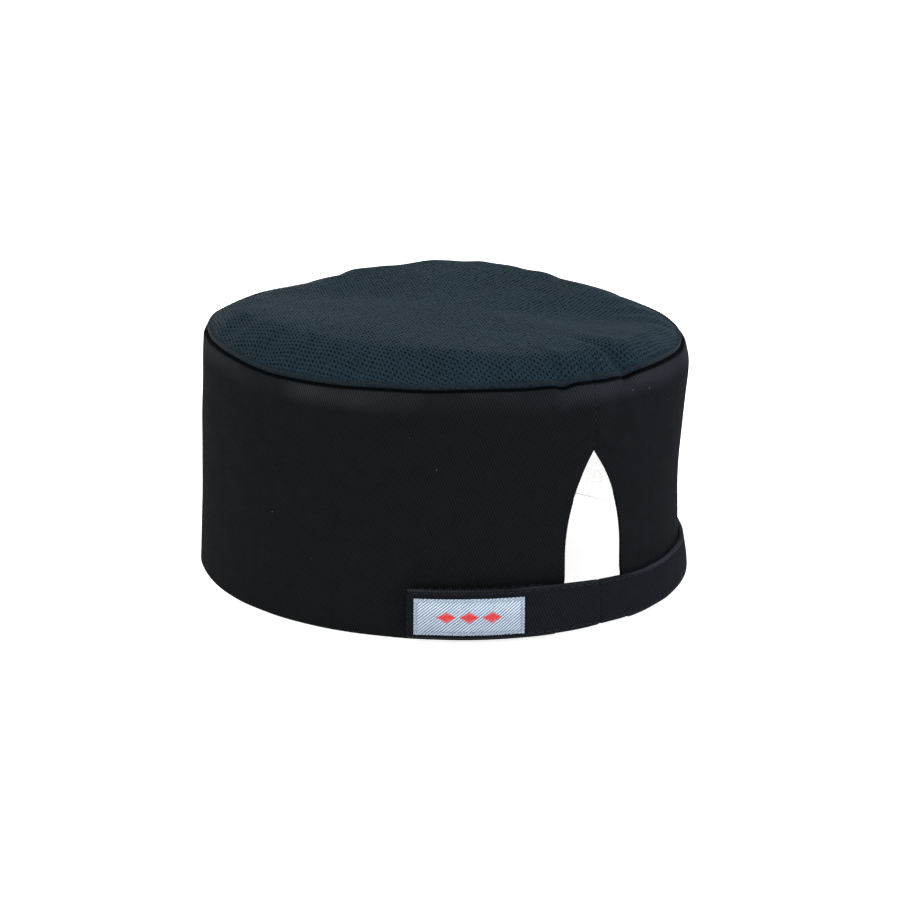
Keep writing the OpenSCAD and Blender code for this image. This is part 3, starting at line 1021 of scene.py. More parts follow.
@dataclass
class Crown:
    """The net top: a knitted lattice of eyelets, a folded edge at the seam, and the row sewn through that.

    Each share says how far out on the flat cut something lies, and grain how many degrees the net is turned.
    """

    form: CrownForm
    eyelet: tuple[float, float] = (2.35 * MM, 2.9 * MM)
    slit: tuple[float, float] = (0.66, 1.28)
    uneven: float = 0.35
    seed: int = 5
    strand: float = 0.9 * MM
    thick: float = 0.4 * MM
    grain: float = 22
    ground_thick: float = 0.3 * MM
    ground_gap: float = 0.08 * MM
    ground_share: float = 0.975
    edge_share: float = 0.984
    edge_overlap: float = 0.012
    stitch_share: float = 0.991

    def share_at(self, x: float, y: float) -> float:
        """The flat share of a point of the cut: 0 in its middle and 1 at the seam."""
        wide, long = self.form.flat_half
        return math.hypot(x / wide, y / long)

    def place(self, flat: Vector) -> Vector:
        """Puts a point of the crown's flat cut on the crown.

        Args:
            flat: The point.

        Returns:
            Where it comes to lie.
        """
        wide, long = self.form.flat_half
        turn = math.degrees(math.atan2(flat.x / wide, flat.y / long))
        return self.form.spot(turn, self.share_at(flat.x, flat.y), flat.z)

    def net(self) -> bpy.types.Object:
        """Knits the net: a lattice of slanted cells, each opened in its middle.

        Returns:
            The net.
        """
        cells = math.ceil(2 * math.sqrt(2) * self.form.flat_half[1] / min(self.eyelet)) + 2
        mesh = bmesh.new()
        bmesh.ops.create_grid(mesh, x_segments=cells, y_segments=cells, size=cells / 2)
        stretch = Matrix.Diagonal((self.eyelet[0] / math.sqrt(2), self.eyelet[1] / math.sqrt(2), 1, 1))
        grain = Matrix.Rotation(-math.radians(self.grain), 4, "Z")
        slanted = grain @ stretch @ Matrix.Rotation(math.pi / 4, 4, "Z")
        bmesh.ops.transform(mesh, matrix=slanted, verts=mesh.verts)
        outside = [f for f in mesh.faces if self.share_at(*f.calc_center_median().xy) > self.edge_share]
        bmesh.ops.delete(mesh, geom=outside, context="FACES")
        cells_left = mesh.faces[:]
        bmesh.ops.inset_individual(mesh, faces=cells_left, thickness=self.strand / 2, use_even_offset=True)
        draw = random.Random(self.seed)
        for cell in cells_left:
            middle = cell.calc_center_median()
            narrow, tall = (half * draw.uniform(1 - self.uneven, 1 + self.uneven) for half in self.slit)
            pull = grain @ Matrix.Diagonal((narrow, tall, 1, 1)) @ grain.inverted()
            for vert in cell.verts:
                vert.co = middle + pull @ (vert.co - middle)
        bmesh.ops.delete(mesh, geom=cells_left, context="FACES_ONLY")
        thicken(mesh, level(self.thick))
        return sewn(mesh, "crown_net", Finishes.NET, self.place, mirrored=False)

    def disc_place(self, u: float, v: float) -> tuple[float, float]:
        """Spreads a square over the close ground's round cut.

        Args:
            u: A share from 0 to 1 across.
            v: A share from 0 to 1 along.

        Returns:
            The point on the crown's flat cut.
        """
        wide, long = (half * self.ground_share for half in self.form.flat_half)
        x, y = 2 * u - 1, 2 * v - 1
        return wide * x * math.sqrt(1 - y * y / 2), long * y * math.sqrt(1 - x * x / 2)

    def ground(self) -> bpy.types.Object:
        """Lays a solid dark sheet under the net: painted shade that shows dark in the net's eyelets.

        Returns:
            The ground.
        """
        inner, outer = level(-self.ground_thick), level(-self.ground_gap)
        cut = Cut((0, 1), (0, 1), inner, outer, 110, 110, 0.0, self.disc_place)
        return sewn(cut.flat(), "crown_ground_painted_shade", Finishes.EYELET_SHADE_GROUND, self.place, mirrored=False)

    def ring_place(self, u: float, v: float) -> tuple[float, float]:
        """Spreads a strip round the folded edge.

        Args:
            u: A share from 0 to 1 round it.
            v: A share from 0 to 1 outwards.

        Returns:
            The point on the crown's flat cut.
        """
        wide, long = self.form.flat_half
        share = self.edge_share - self.edge_overlap + (1.0 - self.edge_share + self.edge_overlap) * v
        return share * wide * math.sin(2 * math.pi * u), share * long * math.cos(2 * math.pi * u)

    def roll(self, x: float, y: float) -> float:
        """Shapes the folded edge's upper face: a soft roll whose outer side tucks into the seam.

        Args:
            x: Where, across the flat cut.
            y: Where, along it.

        Returns:
            The face's height above the crown's surface.
        """
        part = (self.share_at(x, y) - self.edge_share) / (1 - self.edge_share)
        swell = math.sin(math.pi * min(1.0, max(0.0, part * 0.85 + 0.12)))
        return (0.3 + 0.7 * swell - 1.0 * ease((part - 0.75) / 0.25)) * MM

    def under(self, x: float, y: float) -> float:
        """The height of the folded edge's lower face, which goes down into the seam."""
        part = (self.share_at(x, y) - self.edge_share) / (1 - self.edge_share)
        return (-0.25 - 0.8 * ease((part - 0.6) / 0.4)) * MM

    def edge(self) -> bpy.types.Object:
        """Folds the net's edge under.

        Returns:
            The folded edge.
        """
        cut = Cut((0, 1), (0, 1), self.under, self.roll, 420, 10, 0.0, self.ring_place, closed=True)
        return sewn(cut.flat(), "crown_folded_edge", Finishes.EDGE, self.place, mirrored=False)

    def topstitch(self) -> bpy.types.Object:
        """Sews the row of stitches through the folded edge.

        Returns:
            The row.
        """
        mesh = bmesh.new()
        needle = Needle(thick=0.14 * MM)
        wide, long = (half * self.stitch_share for half in self.form.flat_half)
        count = round(self.form.wall.girth / (needle.length + needle.gap))
        for i in range(count):
            turn = 2 * math.pi * (i + 0.5) / count
            x, y = wide * math.sin(turn), long * math.cos(turn)
            along = math.atan2(-long * math.sin(turn), wide * math.cos(turn))
            needle.stitch(mesh, Vector((x, y, self.roll(x, y) - 0.05 * MM)), along, needle.length)
        return sewn(mesh, "crown_edge_stitches", Finishes.BLACK_THREAD, self.place, mirrored=False)

    def build(self) -> None:
        """Makes the crown's pieces."""
        wide, long = self.form.flat_half
        net = report(self.net(), "crown_panel", slot="crown_mesh")
        ground = report(self.ground(), slot="crown_mesh")
        edge = report(self.edge(), slot="crown_mesh")
        report(self.topstitch(), "crown_topstitch", slot="black_thread")


@dataclass
class Band:
    """The upright band with its keyhole: twill outside, interfacing, lining, and the crown seam's binding."""

    form: CapForm
    plies: Plies
    columns: int = 330
    rows: int = 50
    crowding: float = 0.72
    seam_rows: tuple[float, float] = (1.7 * MM, 0.8 * MM)
    binding_y: tuple[float, float] = (9 * MM, 1 * MM)

    def row_height(self, v: float, low: float, high: float) -> float:
        """The height of a row of points: closer near the rim, with rows at the keyhole's point and the seam.

        Args:
            v: The row's share, from 0 at the bottom to 1 at the top.
            low: The bottom's height.
            high: The top's height.

        Returns:
            The row's height.
        """
        heights = [low + (high - low) * (i / self.rows) ** 1.25 for i in range(self.rows + 1)]
        top = self.form.keyhole_top + 0.2 * MM
        nearest = min(range(self.rows + 1), key=lambda i: abs(heights[i] - top))
        heights[nearest] = top
        heights[-3], heights[-2] = (high - below for below in self.seam_rows)
        return heights[round(v * self.rows)]

    def shaped(self, low: float, high: float, margin: float) -> Spread:
        """Shapes a cut's ends to the keyhole and to the seam above it.

        Args:
            low: The cut's lowest height.
            high: Its highest.
            margin: How far it stays back from the keyhole's edge.

        Returns:
            A function that places a point of the cut from its two shares.
        """
        rows = {}

        def place(u: float, v: float) -> tuple[float, float]:
            """Places one point of the cut.

            Args:
                u: A share from 0 to 1 round the cap.
                v: A share from 0 to 1 upwards.

            Returns:
                The point, flat.
            """
            key = round(v * self.rows)
            if key not in rows:
                rows[key] = self.row_height(v, low, high)
            y = rows[key]
            end = max(self.form.opening(y) + margin, 0.08 * MM)
            spread = u - self.crowding / (2 * math.pi) * math.sin(2 * math.pi * u)
            return end + (self.form.girth - 2 * end) * spread, y

        return place

    def hem(self, x: float, y: float) -> float:
        """Shapes the twill's inner face, which folds in round the other plies at the rim and the keyhole.

        Args:
            x: Where, round the rim.
            y: Where, above it.

        Returns:
            The face's distance out.
        """
        from_end = min(x, self.form.girth - x) - self.form.opening(y)
        beside = from_end if y < self.form.keyhole_top else math.hypot(from_end, y - self.form.keyhole_top)
        fold = ease(1 - (min(y, beside) - self.plies.fold_width) / (0.7 * MM))
        return -self.plies.twill - (self.plies.fold - self.plies.twill) * fold

    def ply(
        self, name: str, finish: Finish, faces: tuple[Height, Height], low: float, high: float, margin: float,
        radius: float,
    ) -> bpy.types.Object:
        """Makes a ply of the band all the way round.

        Args:
            name: The piece's name.
            finish: Its finish.
            faces: Its inner and outer face.
            low: Its lowest height.
            high: Its highest.
            margin: How far it stays back from the keyhole's edge.
            radius: How round its edges are.

        Returns:
            The piece.
        """
        cut = Cut((0, self.form.girth), (low, high), *faces, self.columns, self.rows, radius,
                  self.shaped(low, high, margin))
        return sewn(cut.flat(), name, finish, self.form.wrap)

    def build(self) -> None:
        """Makes the band's pieces."""
        top = self.form.height
        side = self.ply("band_twill", Finishes.TWILL, (self.hem, level(0.0)), 0.0, top, 0.0, 0.4 * MM)
        report(side, "side_band", slot="black_twill")
        stiff = self.ply("band_stiffener", Finishes.INTERFACING, tuple(map(level, self.plies.interfacing)),
                         2 * MM, top - 2 * MM, 2.1 * MM, 0.1 * MM)
        report(stiff, "band_interfacing", slot="interfacing")
        lining = self.ply("band_poplin", Finishes.LINING, tuple(map(level, self.plies.lining)),
                          1.9 * MM, top - 0.4 * MM, 2.0 * MM, 0.15 * MM)
        report(lining, "band_lining", slot="black_lining")
        binding = Cut((0.1 * MM, self.form.girth - 0.1 * MM), tuple(top - below for below in self.binding_y),
                      *map(level, self.plies.binding), 240, 6, 0.2 * MM)
        tape = sewn(binding.flat(), "crown_seam_tape", Finishes.TAPE, self.form.wrap)
        report(tape, "crown_binding", slot="black_tape")
        mesh = bmesh.new()
        needle = Needle(length=2.2 * MM, thick=0.16 * MM)
        needle.row(mesh, (0, self.form.keyhole_top + MM), (0, top - MM), level(-0.18 * MM))
        stitches = sewn(mesh, "back_seam_stitches", Finishes.BLACK_THREAD, self.form.wrap)
        report(stitches, "back_seam_thread", slot="black_thread")


@dataclass
class Sweatband:
    """The white terry band round the rim inside, and the row that sews it in."""

    form: CapForm
    plies: Plies
    height: float = 30 * MM
    foot: float = 1 * MM
    row: float = 1.6 * MM
    end_turn: float = 11.5

    def face(self, x: float, y: float) -> float:
        """Shapes its inner face: plump between its edges and pulled in along the row of stitches.

        Args:
            x: Where, round the rim.
            y: Where, above it.

        Returns:
            The face's distance out.
        """
        share = (y - self.foot) / self.height
        plump = 0.25 * math.sin(math.pi * share) - 0.5 * bell(y, self.foot + self.row, 0.7 * MM)
        return self.plies.sweatband[0] - (plump - 0.25) * MM

    def build(self) -> None:
        """Makes the sweatband and its stitching."""
        start = self.form.x_at(self.end_turn)
        ends = (start, self.form.girth - start)
        cut = Cut(ends, (self.foot, self.foot + self.height), self.face, level(self.plies.sweatband[1]),
                  300, 24, 0.45 * MM)
        band = sewn(cut.flat(), "terry_sweatband", Finishes.TERRY, self.form.wrap)
        report(band, "sweatband", slot="white_terry")
        mesh = bmesh.new()
        needle = Needle(length=3.0 * MM, thick=0.2 * MM, sunk=0.6)
        y = self.foot + self.row
        needle.row(mesh, (ends[0] + 1.5 * MM, y), (ends[1] - 1.5 * MM, y), self.face)
        stitches = sewn(mesh, "sweatband_stitches", Finishes.WHITE_THREAD, self.form.wrap)
        report(stitches, "sweatband_stitching", slot="white_thread")


@dataclass
class Strap:
    """The adjusting strap: sewn down at the wearer's right, free across the keyhole, closed at the left.

    Each of the turns gives where drop, sag or lean begins and how many degrees further it is complete.
    """

    form: CapForm
    low: float = 0.35 * MM
    high: float = 2.25 * MM
    thick: float = 1.8 * MM
    row_inset: float = 1.1 * MM
    middle: float = 0.0
    drop: float = 3.4 * MM
    sag: float = 2.0 * MM
    lean: float = 0.4 * MM
    drop_turns: tuple[float, float] = (16, 34)
    sag_turns: tuple[float, float] = (-32, 24)
    lean_turns: tuple[float, float] = (-18, 26)
    plump: float = 0.22
    core_inset: float = 0.75 * MM
    core_end: float = 1.2 * MM
    end_inset: float = 1.5 * MM
    bend_inset: float = 0.3 * MM
    box_length: float = 15 * MM
    root: Span = field(init=False)
    tab: Span = field(init=False)
    swing: Vector = field(init=False)
    peel: Vector = field(init=False)

    def __post_init__(self) -> None:
        """Reads from the frame where the strap lies and where it bends."""
        self.root = span(self.form, "strap_root_shell")
        self.tab = span(self.form, "strap_tab_shell")
        joints = {j["name"]: Vector(j["pos_m"]) for j in frame["joints"]}
        self.swing, self.peel = joints["strap_swing"], joints["strap_peel"]

    @property
    def y(self) -> tuple[float, float]:
        """The heights of the strap's lower and upper edge."""
        return self.root.y

    @property
    def rows(self) -> tuple[float, float]:
        """The heights of its lower and upper row of stitches."""
        return self.y[0] + self.row_inset, self.y[1] - self.row_inset

    def under(self, x: float, y: float) -> float:
        """The strap's inner face: it rises from the cloth that it is sewn to up to the fastening."""
        share = (x - self.root.x[1]) / (self.tab.x[0] - self.root.x[1])
        return self.low + (self.high - self.low) * ease(share)

    def face(self, x: float, y: float) -> float:
        """Shapes the strap's outer face, a little plump between its rows of stitches, which pull it in.

        Args:
            x: Where, round the rim.
            y: Where, above it.

        Returns:
            The face's distance out.
        """
        share = (y - self.y[0]) / (self.y[1] - self.y[0])
        filled = 1 - (2 * share - 1) ** 2
        pulled = sum(bell(y, row, 0.55 * MM) for row in self.rows)
        return self.under(x, y) + self.thick + self.plump * (filled - pulled) * MM

    def cloth(self, name: str, ends: tuple[float, float], columns: int) -> bpy.types.Object:
        """Makes a length of the strap's folded twill.

        Args:
            name: The piece's name.
            ends: Where it starts and ends round the rim.
            columns: How many columns of faces it has.

        Returns:
            The piece, which is cut straight where it meets the other length.
        """
        cut = Cut(ends, self.y, self.under, self.face, columns, 24, 0.55 * MM,
                  sharp=lambda point: abs(point.x - self.middle) < 0.01 * MM)
        return sewn(cut.flat(), name, Finishes.STRAP_TWILL, self.wrap)

    def core(self, name: str, ends: tuple[float, float], columns: int) -> bpy.types.Object:
        """Makes the stiff interlining inside a length of the strap.

        Args:
            name: The piece's name.
            ends: Where it starts and ends round the rim.
            columns: How many columns of faces it has.

        Returns:
            The piece.
        """
        inset = self.core_inset
        cut = Cut(ends, (self.y[0] + inset, self.y[1] - inset), lambda x, y: self.under(x, y) + inset,
                  lambda x, y: self.under(x, y) + self.thick - inset, columns, 4, 0.1 * MM)
        return sewn(cut.flat(), name, Finishes.INTERFACING, self.wrap)

    def wrap(self, flat: Vector) -> Vector:
        """Puts a point of the flat strap round the cap: towards the sewn end it lies lower and leans out.

        Args:
            flat: The point.

        Returns:
            Where it comes to lie.
        """
        turn = math.degrees(2 * math.pi * flat.x / self.form.girth)
        up = flat.y / self.y[1]
        stretches = self.drop_turns, self.sag_turns, self.lean_turns
        dropped, sagged, leant = (ease((start - turn) / reach) for start, reach in stretches)
        lower = (self.drop * dropped + self.sag * sagged) * up
        outer = self.lean * (1 - up) * leant
        return self.form.wrap(Vector((flat.x, flat.y - lower, flat.z + outer)))

    def bend(self, piece: bpy.types.Object, at_swing: bool) -> None:
        """Bakes a piece's placement into its mesh, alike at either of the strap's two bending places; nothing
        makes it bend.

        Args:
            piece: The piece.
            at_swing: Whether it lies at the bending place beside the sewn end rather than at the fastening.
        """
        if at_swing:
            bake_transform(piece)
        else:
            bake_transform(piece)

    def stitching(self, name: str, ends: tuple[float, float], at_root: bool, label: Span) -> bpy.types.Object:
        """Sews along a length of the strap, and twice across it where it is sewn to the band.

        Args:
            name: The rows' name.
            ends: Where the length starts and ends round the rim.
            at_root: Whether it is the length that is sewn to the band.
            label: Where the woven label lies, at which the lower row of the free length stops.

        Returns:
            The rows.
        """
        mesh = bmesh.new()
        needle = Needle(thick=0.19 * MM)
        near, far = (self.end_inset, self.bend_inset) if at_root else (self.bend_inset, self.end_inset)
        for row in self.rows:
            beside_label = not at_root and row < label.y[0] + MM
            last = label.x[0] - MM if beside_label else ends[1] - far
            needle.row(mesh, (ends[0] + near, row), (last, row), self.face)
        if at_root:
            for x in (ends[0] + self.end_inset, ends[0] + self.box_length):
                needle.row(mesh, (x, self.rows[0]), (x, self.rows[1]), self.face)
        return sewn(mesh, name, Finishes.BLACK_THREAD, self.wrap)

    def build(self) -> None:
        """Makes the strap's two lengths, their cores and their stitching."""
        label = span(self.form, "strap_label")
        lengths = (
            ("root", (self.root.x[0], self.middle), 84, True),
            ("tab", (self.middle, self.tab.x[1]), 68, False),
        )
        for word, ends, columns, at_swing in lengths:
            nodes = [f"strap_{word}"] + (["strap_bridge"] if at_swing else [])
            cloth = self.cloth(f"strap_{word}_cloth", ends, columns)
            self.bend(cloth, at_swing)
            report(cloth, *(f"{n}_shell" for n in nodes), body=None, slot="black_twill")
            core_ends = (ends[0] + self.core_end, ends[1]) if at_swing else (ends[0], ends[1] - self.core_end)
            core = self.core(f"strap_{word}_stiffener", core_ends, columns)
            self.bend(core, at_swing)
            report(core, *(f"{n}_core" for n in nodes), body=None, slot="interfacing")
            stitching = self.stitching(f"strap_{word}_stitches", ends, at_swing, label)
            self.bend(stitching, at_swing)
            report(stitching, *(f"{n}_stitching" for n in nodes), body=None, slot="black_thread")


@dataclass
class Fastening:
    """The hook-and-loop tape: loops on the band, and hooks on the back of the strap's free end."""

    form: CapForm
    pitch: float = 1.25 * MM
    backing: float = 0.45 * MM
    tuft: float = 0.42 * MM
    margin: float = 0.7 * MM
    loop_back: float = 0.1 * MM
    hook_back: float = 2.2 * MM
    row_outside: float = 0.45 * MM
    row_faces: tuple[float, float] = (0.0, 1.95 * MM)
    seed: int = 5

    def tuft_data(self, sweep: float) -> bpy.types.Mesh:
        """Bends one bristle of the tape into a loop or a hook.

        Args:
            sweep: How far it goes round, in radians.

        Returns:
            The bristle's mesh, standing on the ground and one unit high.
        """
        mesh = bmesh.new()
        section = bmesh.ops.create_circle(mesh, segments=4, radius=0.22)["verts"]
        bmesh.ops.translate(mesh, verts=section, vec=(0.78, 0, 0))
        bmesh.ops.spin(
            mesh, geom=section + mesh.edges[:], cent=(0, 0, 0), axis=(0, -1, 0), dvec=(0, 0, 0), angle=sweep,
            steps=5, use_duplicate=False)
        bmesh.ops.holes_fill(mesh, edges=mesh.edges[:], sides=4)
        bmesh.ops.recalc_face_normals(mesh, faces=mesh.faces[:])
        lay_out(mesh)
        data = bpy.data.meshes.new("tuft")
        mesh.to_mesh(data)
        mesh.free()
        return data

    def tape(
        self, name: str, finish: Finish, area: Span, base: float, way: int, hooked: bool
    ) -> bpy.types.Object:
        """Makes a patch of tape with its bristles.

        Args:
            name: The piece's name.
            finish: Its finish.
            area: Where it lies.
            base: How far out its back is.
            way: 1 if its bristles point out from the cap, and -1 if they point in.
            hooked: Whether they are hooks and not loops.

        Returns:
            The patch.
        """
        front = base + way * self.backing
        mesh = Cut(area.x, area.y, level(min(base, front)), level(max(base, front)), 48, 10, 0.12 * MM).flat()
        lay_out(mesh)
        data = self.tuft_data(math.pi * (0.78 if hooked else 1.0))
        draw = random.Random(self.seed)
        columns = int((area.x[1] - area.x[0] - 2 * self.margin) / self.pitch)
        rows = int((area.y[1] - area.y[0] - 2 * self.margin) / self.pitch)
        size = Matrix.Diagonal((self.tuft, self.tuft, way * self.tuft, 1))
        for j in range(rows):
            for i in range(columns):
                turn = draw.uniform(-0.15, 0.15) if hooked else draw.uniform(0, math.pi)
                spot = Vector((
                    area.x[0] + self.margin + (i + 0.35 + 0.3 * (j % 2)) * self.pitch,
                    area.y[0] + self.margin + (j + 0.5) * self.pitch,
                    front,
                ))
                bristle = data.copy()
                bristle.transform(Matrix.Translation(spot) @ Matrix.Rotation(turn, 4, "Z") @ size)
                mesh.from_mesh(bristle)
                bpy.data.meshes.remove(bristle)
        bpy.data.meshes.remove(data)
        bmesh.ops.recalc_face_normals(mesh, faces=mesh.faces[:])
        return sewn(mesh, name, finish, self.form.wrap)

    def rows(self, name: str, area: Span, face: float) -> bpy.types.Object:
        """Sews a patch down along its upper and lower edge.

        Args:
            name: The rows' name.
            area: Where the patch lies.
            face: The face that they lie on.

        Returns:
            The rows.
        """
        mesh = bmesh.new()
        needle = Needle(thick=0.17 * MM)
        for y in (area.y[0] - self.row_outside, area.y[1] + self.row_outside):
            needle.row(mesh, (area.x[0] + MM, y), (area.x[1] - MM, y), level(face))
        return sewn(mesh, name, Finishes.BLACK_THREAD, self.form.wrap)

    def build(self) -> None:
        """Makes the two patches and their stitching."""
        loop_area, hook_area = span(self.form, "loop_patch"), span(self.form, "hook_patch")
        loops = self.tape("loop_tape", Finishes.LOOP, loop_area, self.loop_back, 1, hooked=False)
        report(loops, "loop_patch", slot="loop_tape")
        hooks = self.tape("hook_tape", Finishes.HOOK, hook_area, self.hook_back, -1, hooked=True)
        report(hooks, "hook_patch", body="strap_tab", slot="hook_tape")
        loop_rows = self.rows("loop_tape_stitches", loop_area, self.row_faces[0])
        report(loop_rows, "loop_patch_stitching", slot="black_thread")
        hook_rows = self.rows("hook_tape_stitches", hook_area, self.row_faces[1])
        report(hook_rows, "hook_patch_stitching", body="strap_tab", slot="black_thread")


@dataclass
class Label:
    """The woven label on the strap's free end, with a plain row of lozenges."""

    form: CapForm
    strap: Strap
    thick: float = 0.42 * MM
    fold: float = 2.4 * MM
    border: float = 1.25 * MM
    overlock: float = 0.5 * MM
    seed: int = 3
    lozenges: int = 3
    lozenge_half: tuple[float, float] = (3.1 * MM, 2.3 * MM)
    lozenge_pitch: float = 7.6 * MM
    thread: float = 0.36 * MM
    area: Span = field(init=False)

    def __post_init__(self) -> None:
        """Reads from the frame where the label lies."""
        self.area = span(self.form, "strap_label")

    def back(self, x: float, y: float) -> float:
        """The label's inner face, on the strap."""
        return self.strap.face(x, y) - 0.05 * MM

    def face(self, x: float, y: float) -> float:
        """Shapes its outer face: higher at its folded ends, and drawn down along its border by the stitches.

        Args:
            x: Where, round the rim.
            y: Where, above it.

        Returns:
            The face's distance out.
        """
        (x0, x1), (y0, y1) = self.area.x, self.area.y
        from_end = min(x - x0, x1 - x)
        from_edge = min(from_end, y - y0, y1 - y)
        folded = 0.16 * ease(1 - (from_end - self.fold) / (0.7 * MM))
        drawn = -0.14 * bell(from_edge, self.border, 0.5 * MM)
        angle = (x + y) / (3.4 * MM)
        cockled = 0.05 * math.sin(angle) * math.cos(0.6 * angle)
        return self.back(x, y) + self.thick + (folded + drawn + cockled) * MM

    def stitching(self) -> bpy.types.Object:
        """Sews the label's border.

        Returns:
            The rows.
        """
        mesh = bmesh.new()
        draw = random.Random(self.seed)
        needle = Needle(thick=0.16 * MM)
        (x0, x1), (y0, y1) = self.area.x, self.area.y
        half = self.border / 2
        sides = (((x0, y0 + half), (x1, y0 + half)), ((x0, y1 - half), (x1, y1 - half)),
                 ((x0 + half, y0), (x0 + half, y1)), ((x1 - half, y0), (x1 - half, y1)))
        for (ax, ay), (bx, by) in sides:
            count = round(math.hypot(bx - ax, by - ay) / self.overlock)
            across = math.atan2(by - ay, bx - ax) + math.pi / 2
            for i in range(count):
                share = (i + 0.5) / count
                x, y = ax + (bx - ax) * share, ay + (by - ay) * share
                lean = draw.uniform(-0.35, 0.35)
                long = self.border * draw.uniform(0.95, 1.35)
                needle.stitch(mesh, Vector((x, y, self.face(x, y))), across + lean, long)
        return sewn(mesh, "woven_label_stitches", Finishes.SILVER_THREAD, self.form.wrap)

    def motif(self) -> bpy.types.Object:
        """Embroiders the lozenges in satin stitch: upright threads side by side.

        Returns:
            The lozenges.
        """
        mesh = bmesh.new()
        needle = Needle(thick=0.17 * MM)
        middle = Vector((sum(self.area.x) / 2, sum(self.area.y) / 2))
        threads = round(2 * self.lozenge_half[0] / self.thread)
        for k in range(self.lozenges):
            centre = middle.x + (k - (self.lozenges - 1) / 2) * self.lozenge_pitch
            for i in range(threads):
                aside = (2 * (i + 0.5) / threads - 1) * self.lozenge_half[0]
                tall = 2 * self.lozenge_half[1] * (1 - abs(aside) / self.lozenge_half[0])
                x = centre + aside
                on_face = Vector((x, middle.y, self.face(x, middle.y)))
                needle.stitch(mesh, on_face, math.pi / 2, tall + 0.25 * MM)
        return sewn(mesh, "woven_lozenges", Finishes.RED_THREAD, self.form.wrap)

    def build(self) -> None:
        """Makes the label, its border and its lozenges."""
        cut = Cut(self.area.x, self.area.y, self.back, self.face, 70, 30, 0.16 * MM)
        label = sewn(cut.flat(), "woven_label", Finishes.SILVER_SATIN, self.form.wrap)
        report(label, "strap_label", body="strap_tab", slot="silver_satin")
        stitching = report(self.stitching(), "strap_label_stitching", body="strap_tab", slot="silver_thread")
        motif = report(self.motif(), "strap_label_motif", body="strap_tab", slot="red_thread")
        sizes = (self.area.x[1] - self.area.x[0], self.area.y[1] - self.area.y[0])


@dataclass
class CareLabel:
    """The loose care label that hangs inside, over the sweatband at the wearer's left."""

    form: CapForm
    turn: float = 90
    sag: float = 1.2 * MM
    curl: float = 0.4 * MM

    def build(self) -> None:
        """Makes the label: a strip of ribbon that bows a little away from the wall."""
        low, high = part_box("care_label")
        shift = self.form.relief(self.turn, high.z)

        def place(flat: Vector) -> Vector:
            """Hangs a point of the flat ribbon from its upper edge.

            Args:
                flat: The point.

            Returns:
                Where it comes to hang.
            """
            down = (high.z - flat.y) / (high.z - low.z)
            bow = self.sag * math.sin(math.pi * down) ** 2 + self.curl * down * math.sin(flat.x / (5 * MM))
            return Vector((high.x + shift - flat.z - bow, flat.x, flat.y))

        cut = Cut((low.y, high.y), (low.z, high.z), level(0.0), level(high.x - low.x), 24, 26, 0.1 * MM)
        label = sewn(cut.flat(), "care_ribbon", Finishes.CARE_SATIN, place)
        report(label, "care_label", body="care_tab", slot="care_satin")
        high.y - low.y


@dataclass
class Lint:
    """Pale fluff that dark cotton picks up: a few bent fibres on the outside of the band."""

    form: CapForm
    count: int = 15
    turns: tuple[float, float] = (12, 348)
    heights: tuple[float, float] = (24 * MM, 84 * MM)
    lengths: tuple[float, float] = (0.3 * MM, 1.1 * MM)
    seed: int = 11

    def build(self) -> None:
        """Scatters the fibres."""
        draw = random.Random(self.seed)
        mesh = bmesh.new()
        fibre = Needle(thick=0.05 * MM, sides=4, sunk=0.2)
        for _ in range(self.count):
            spot = Vector((self.form.x_at(draw.uniform(*self.turns)), draw.uniform(*self.heights), 0.0))
            fibre.stitch(mesh, spot, draw.uniform(0, math.pi), draw.uniform(*self.lengths))
        report(sewn(mesh, "cotton_lint", Finishes.LINT, self.form.wrap))


@dataclass(frozen=True)
class Lamp:
    """A soft square lamp: where it hangs, the length of its side, its power, and its colour as sRGB hex."""

    name: str
    place: tuple[float, float, float]
    size: float
    watts: float
    tint: str


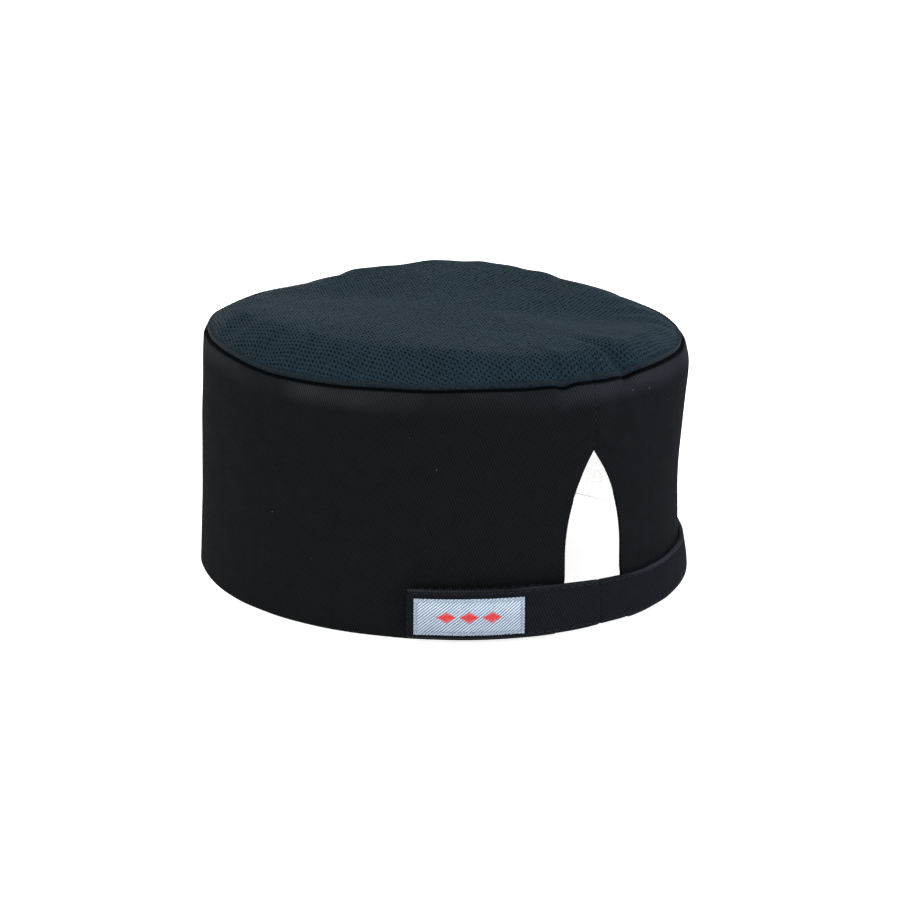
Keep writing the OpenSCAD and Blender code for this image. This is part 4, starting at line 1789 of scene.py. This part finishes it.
@dataclass
class Studio:
    """A plain pale floor, soft light all round, and the camera. The angles are in degrees."""

    LAMPS = (
        Lamp("over", (0.1, 0.2, 1.6), 1.2, 11.0, "ffffff"),
        Lamp("beside", (-0.9, 1.0, 0.9), 0.9, 10.0, "a9c0ff"),
    )

    distance: float = 0.88263
    azimuth: float = 32.662
    elevation: float = 16.129
    roll: float = -0.3415
    focal: float = 92.4796
    shift: tuple[float, float] = (0.00677, -0.00942)
    sensor: float = 36.0
    glow: float = 1.0
    floor_half: float = 3.0
    floor_glow: float = 0.8
    lit_height: float = 0.05

    def floor(self) -> None:
        """Lays the floor: a matt card that is a little bright in itself, so that shadows on it stay faint."""
        mesh = bmesh.new()
        bmesh.ops.create_grid(mesh, x_segments=1, y_segments=1, size=self.floor_half)
        data = bpy.data.meshes.new("floor")
        mesh.to_mesh(data)
        mesh.free()
        card = bpy.data.materials.new("white_card")
        card.use_nodes = True
        shader = card.node_tree.nodes["Principled BSDF"]
        shader.inputs["Base Color"].default_value = linear("f4f4f4")
        shader.inputs["Roughness"].default_value = 0.95
        shader.inputs["Specular IOR Level"].default_value = 0.0
        shader.inputs["Emission Color"].default_value = linear("ffffff")
        shader.inputs["Emission Strength"].default_value = self.floor_glow
        data.materials.append(card)
        floor = bpy.data.objects.new("floor", data)
        bpy.context.scene.collection.objects.link(floor)

    def hang(self, lamp: Lamp) -> None:
        """Hangs a lamp so that it looks at the cap.

        Args:
            lamp: The lamp.
        """
        data = bpy.data.lights.new(lamp.name, "AREA")
        data.size, data.energy, data.color = lamp.size, lamp.watts, linear(lamp.tint)[:3]
        light = bpy.data.objects.new(lamp.name, data)
        light.location = lamp.place
        look = Vector((0, 0, self.lit_height)) - Vector(lamp.place)
        light.rotation_euler = look.to_track_quat("-Z", "Y").to_euler()
        bpy.context.scene.collection.objects.link(light)

    def camera(self, height: float) -> None:
        """Sets the camera up.

        Args:
            height: The cap's band height, at whose middle it looks.
        """
        data = bpy.data.cameras.new("camera")
        data.lens, data.sensor_width = self.focal, self.sensor
        data.shift_x, data.shift_y = self.shift
        turn, rise = math.radians(self.azimuth), math.radians(self.elevation)
        back = Vector((math.sin(turn) * math.cos(rise), math.cos(turn) * math.cos(rise), math.sin(rise)))
        aim = (-back).to_track_quat("-Z", "Y").to_matrix().to_4x4()
        camera = bpy.data.objects.new("camera", data)
        camera.matrix_world = (
            Matrix.Translation(Vector((0, 0, height / 2)) + back * self.distance) @ aim
            @ Matrix.Rotation(math.radians(self.roll), 4, "Z"))
        bpy.context.scene.collection.objects.link(camera)
        bpy.context.scene.camera = camera

    def build(self, height: float) -> None:
        """Makes the studio.

        Args:
            height: The cap's band height.
        """
        self.camera(height)
        self.floor()
        world = bpy.data.worlds.new("studio")
        world.use_nodes = True
        world.node_tree.nodes["Background"].inputs["Color"].default_value = linear("ffffff")
        world.node_tree.nodes["Background"].inputs["Strength"].default_value = self.glow
        bpy.context.scene.world = world
        bpy.context.scene.view_settings.view_transform = "Standard"
        for lamp in self.LAMPS:
            self.hang(lamp)


# ---------------------------------------------------------------- the whole cap


def main() -> None:
    """Makes the cap's pieces in the order in which it is sewn, and the studio."""
    logging.basicConfig(level=logging.INFO, format="%(name)s: %(message)s")
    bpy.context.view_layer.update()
    low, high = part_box("side_band")
    seam_low, seam_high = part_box("crown_panel")
    form = CapForm((high.x, -low.y), (seam_high.x, seam_high.y), high.z)
    Studio().build(form.height)
    plies = Plies()
    Band(form, plies).build()
    Crown(CrownForm(form, seam_high.z - seam_low.z)).build()
    Sweatband(form, plies).build()
    strap = Strap(form)
    strap.build()
    Fastening(form).build()
    Label(form, strap).build()
    CareLabel(form).build()
    Lint(form).build()


if __name__ == "__main__":
    main()
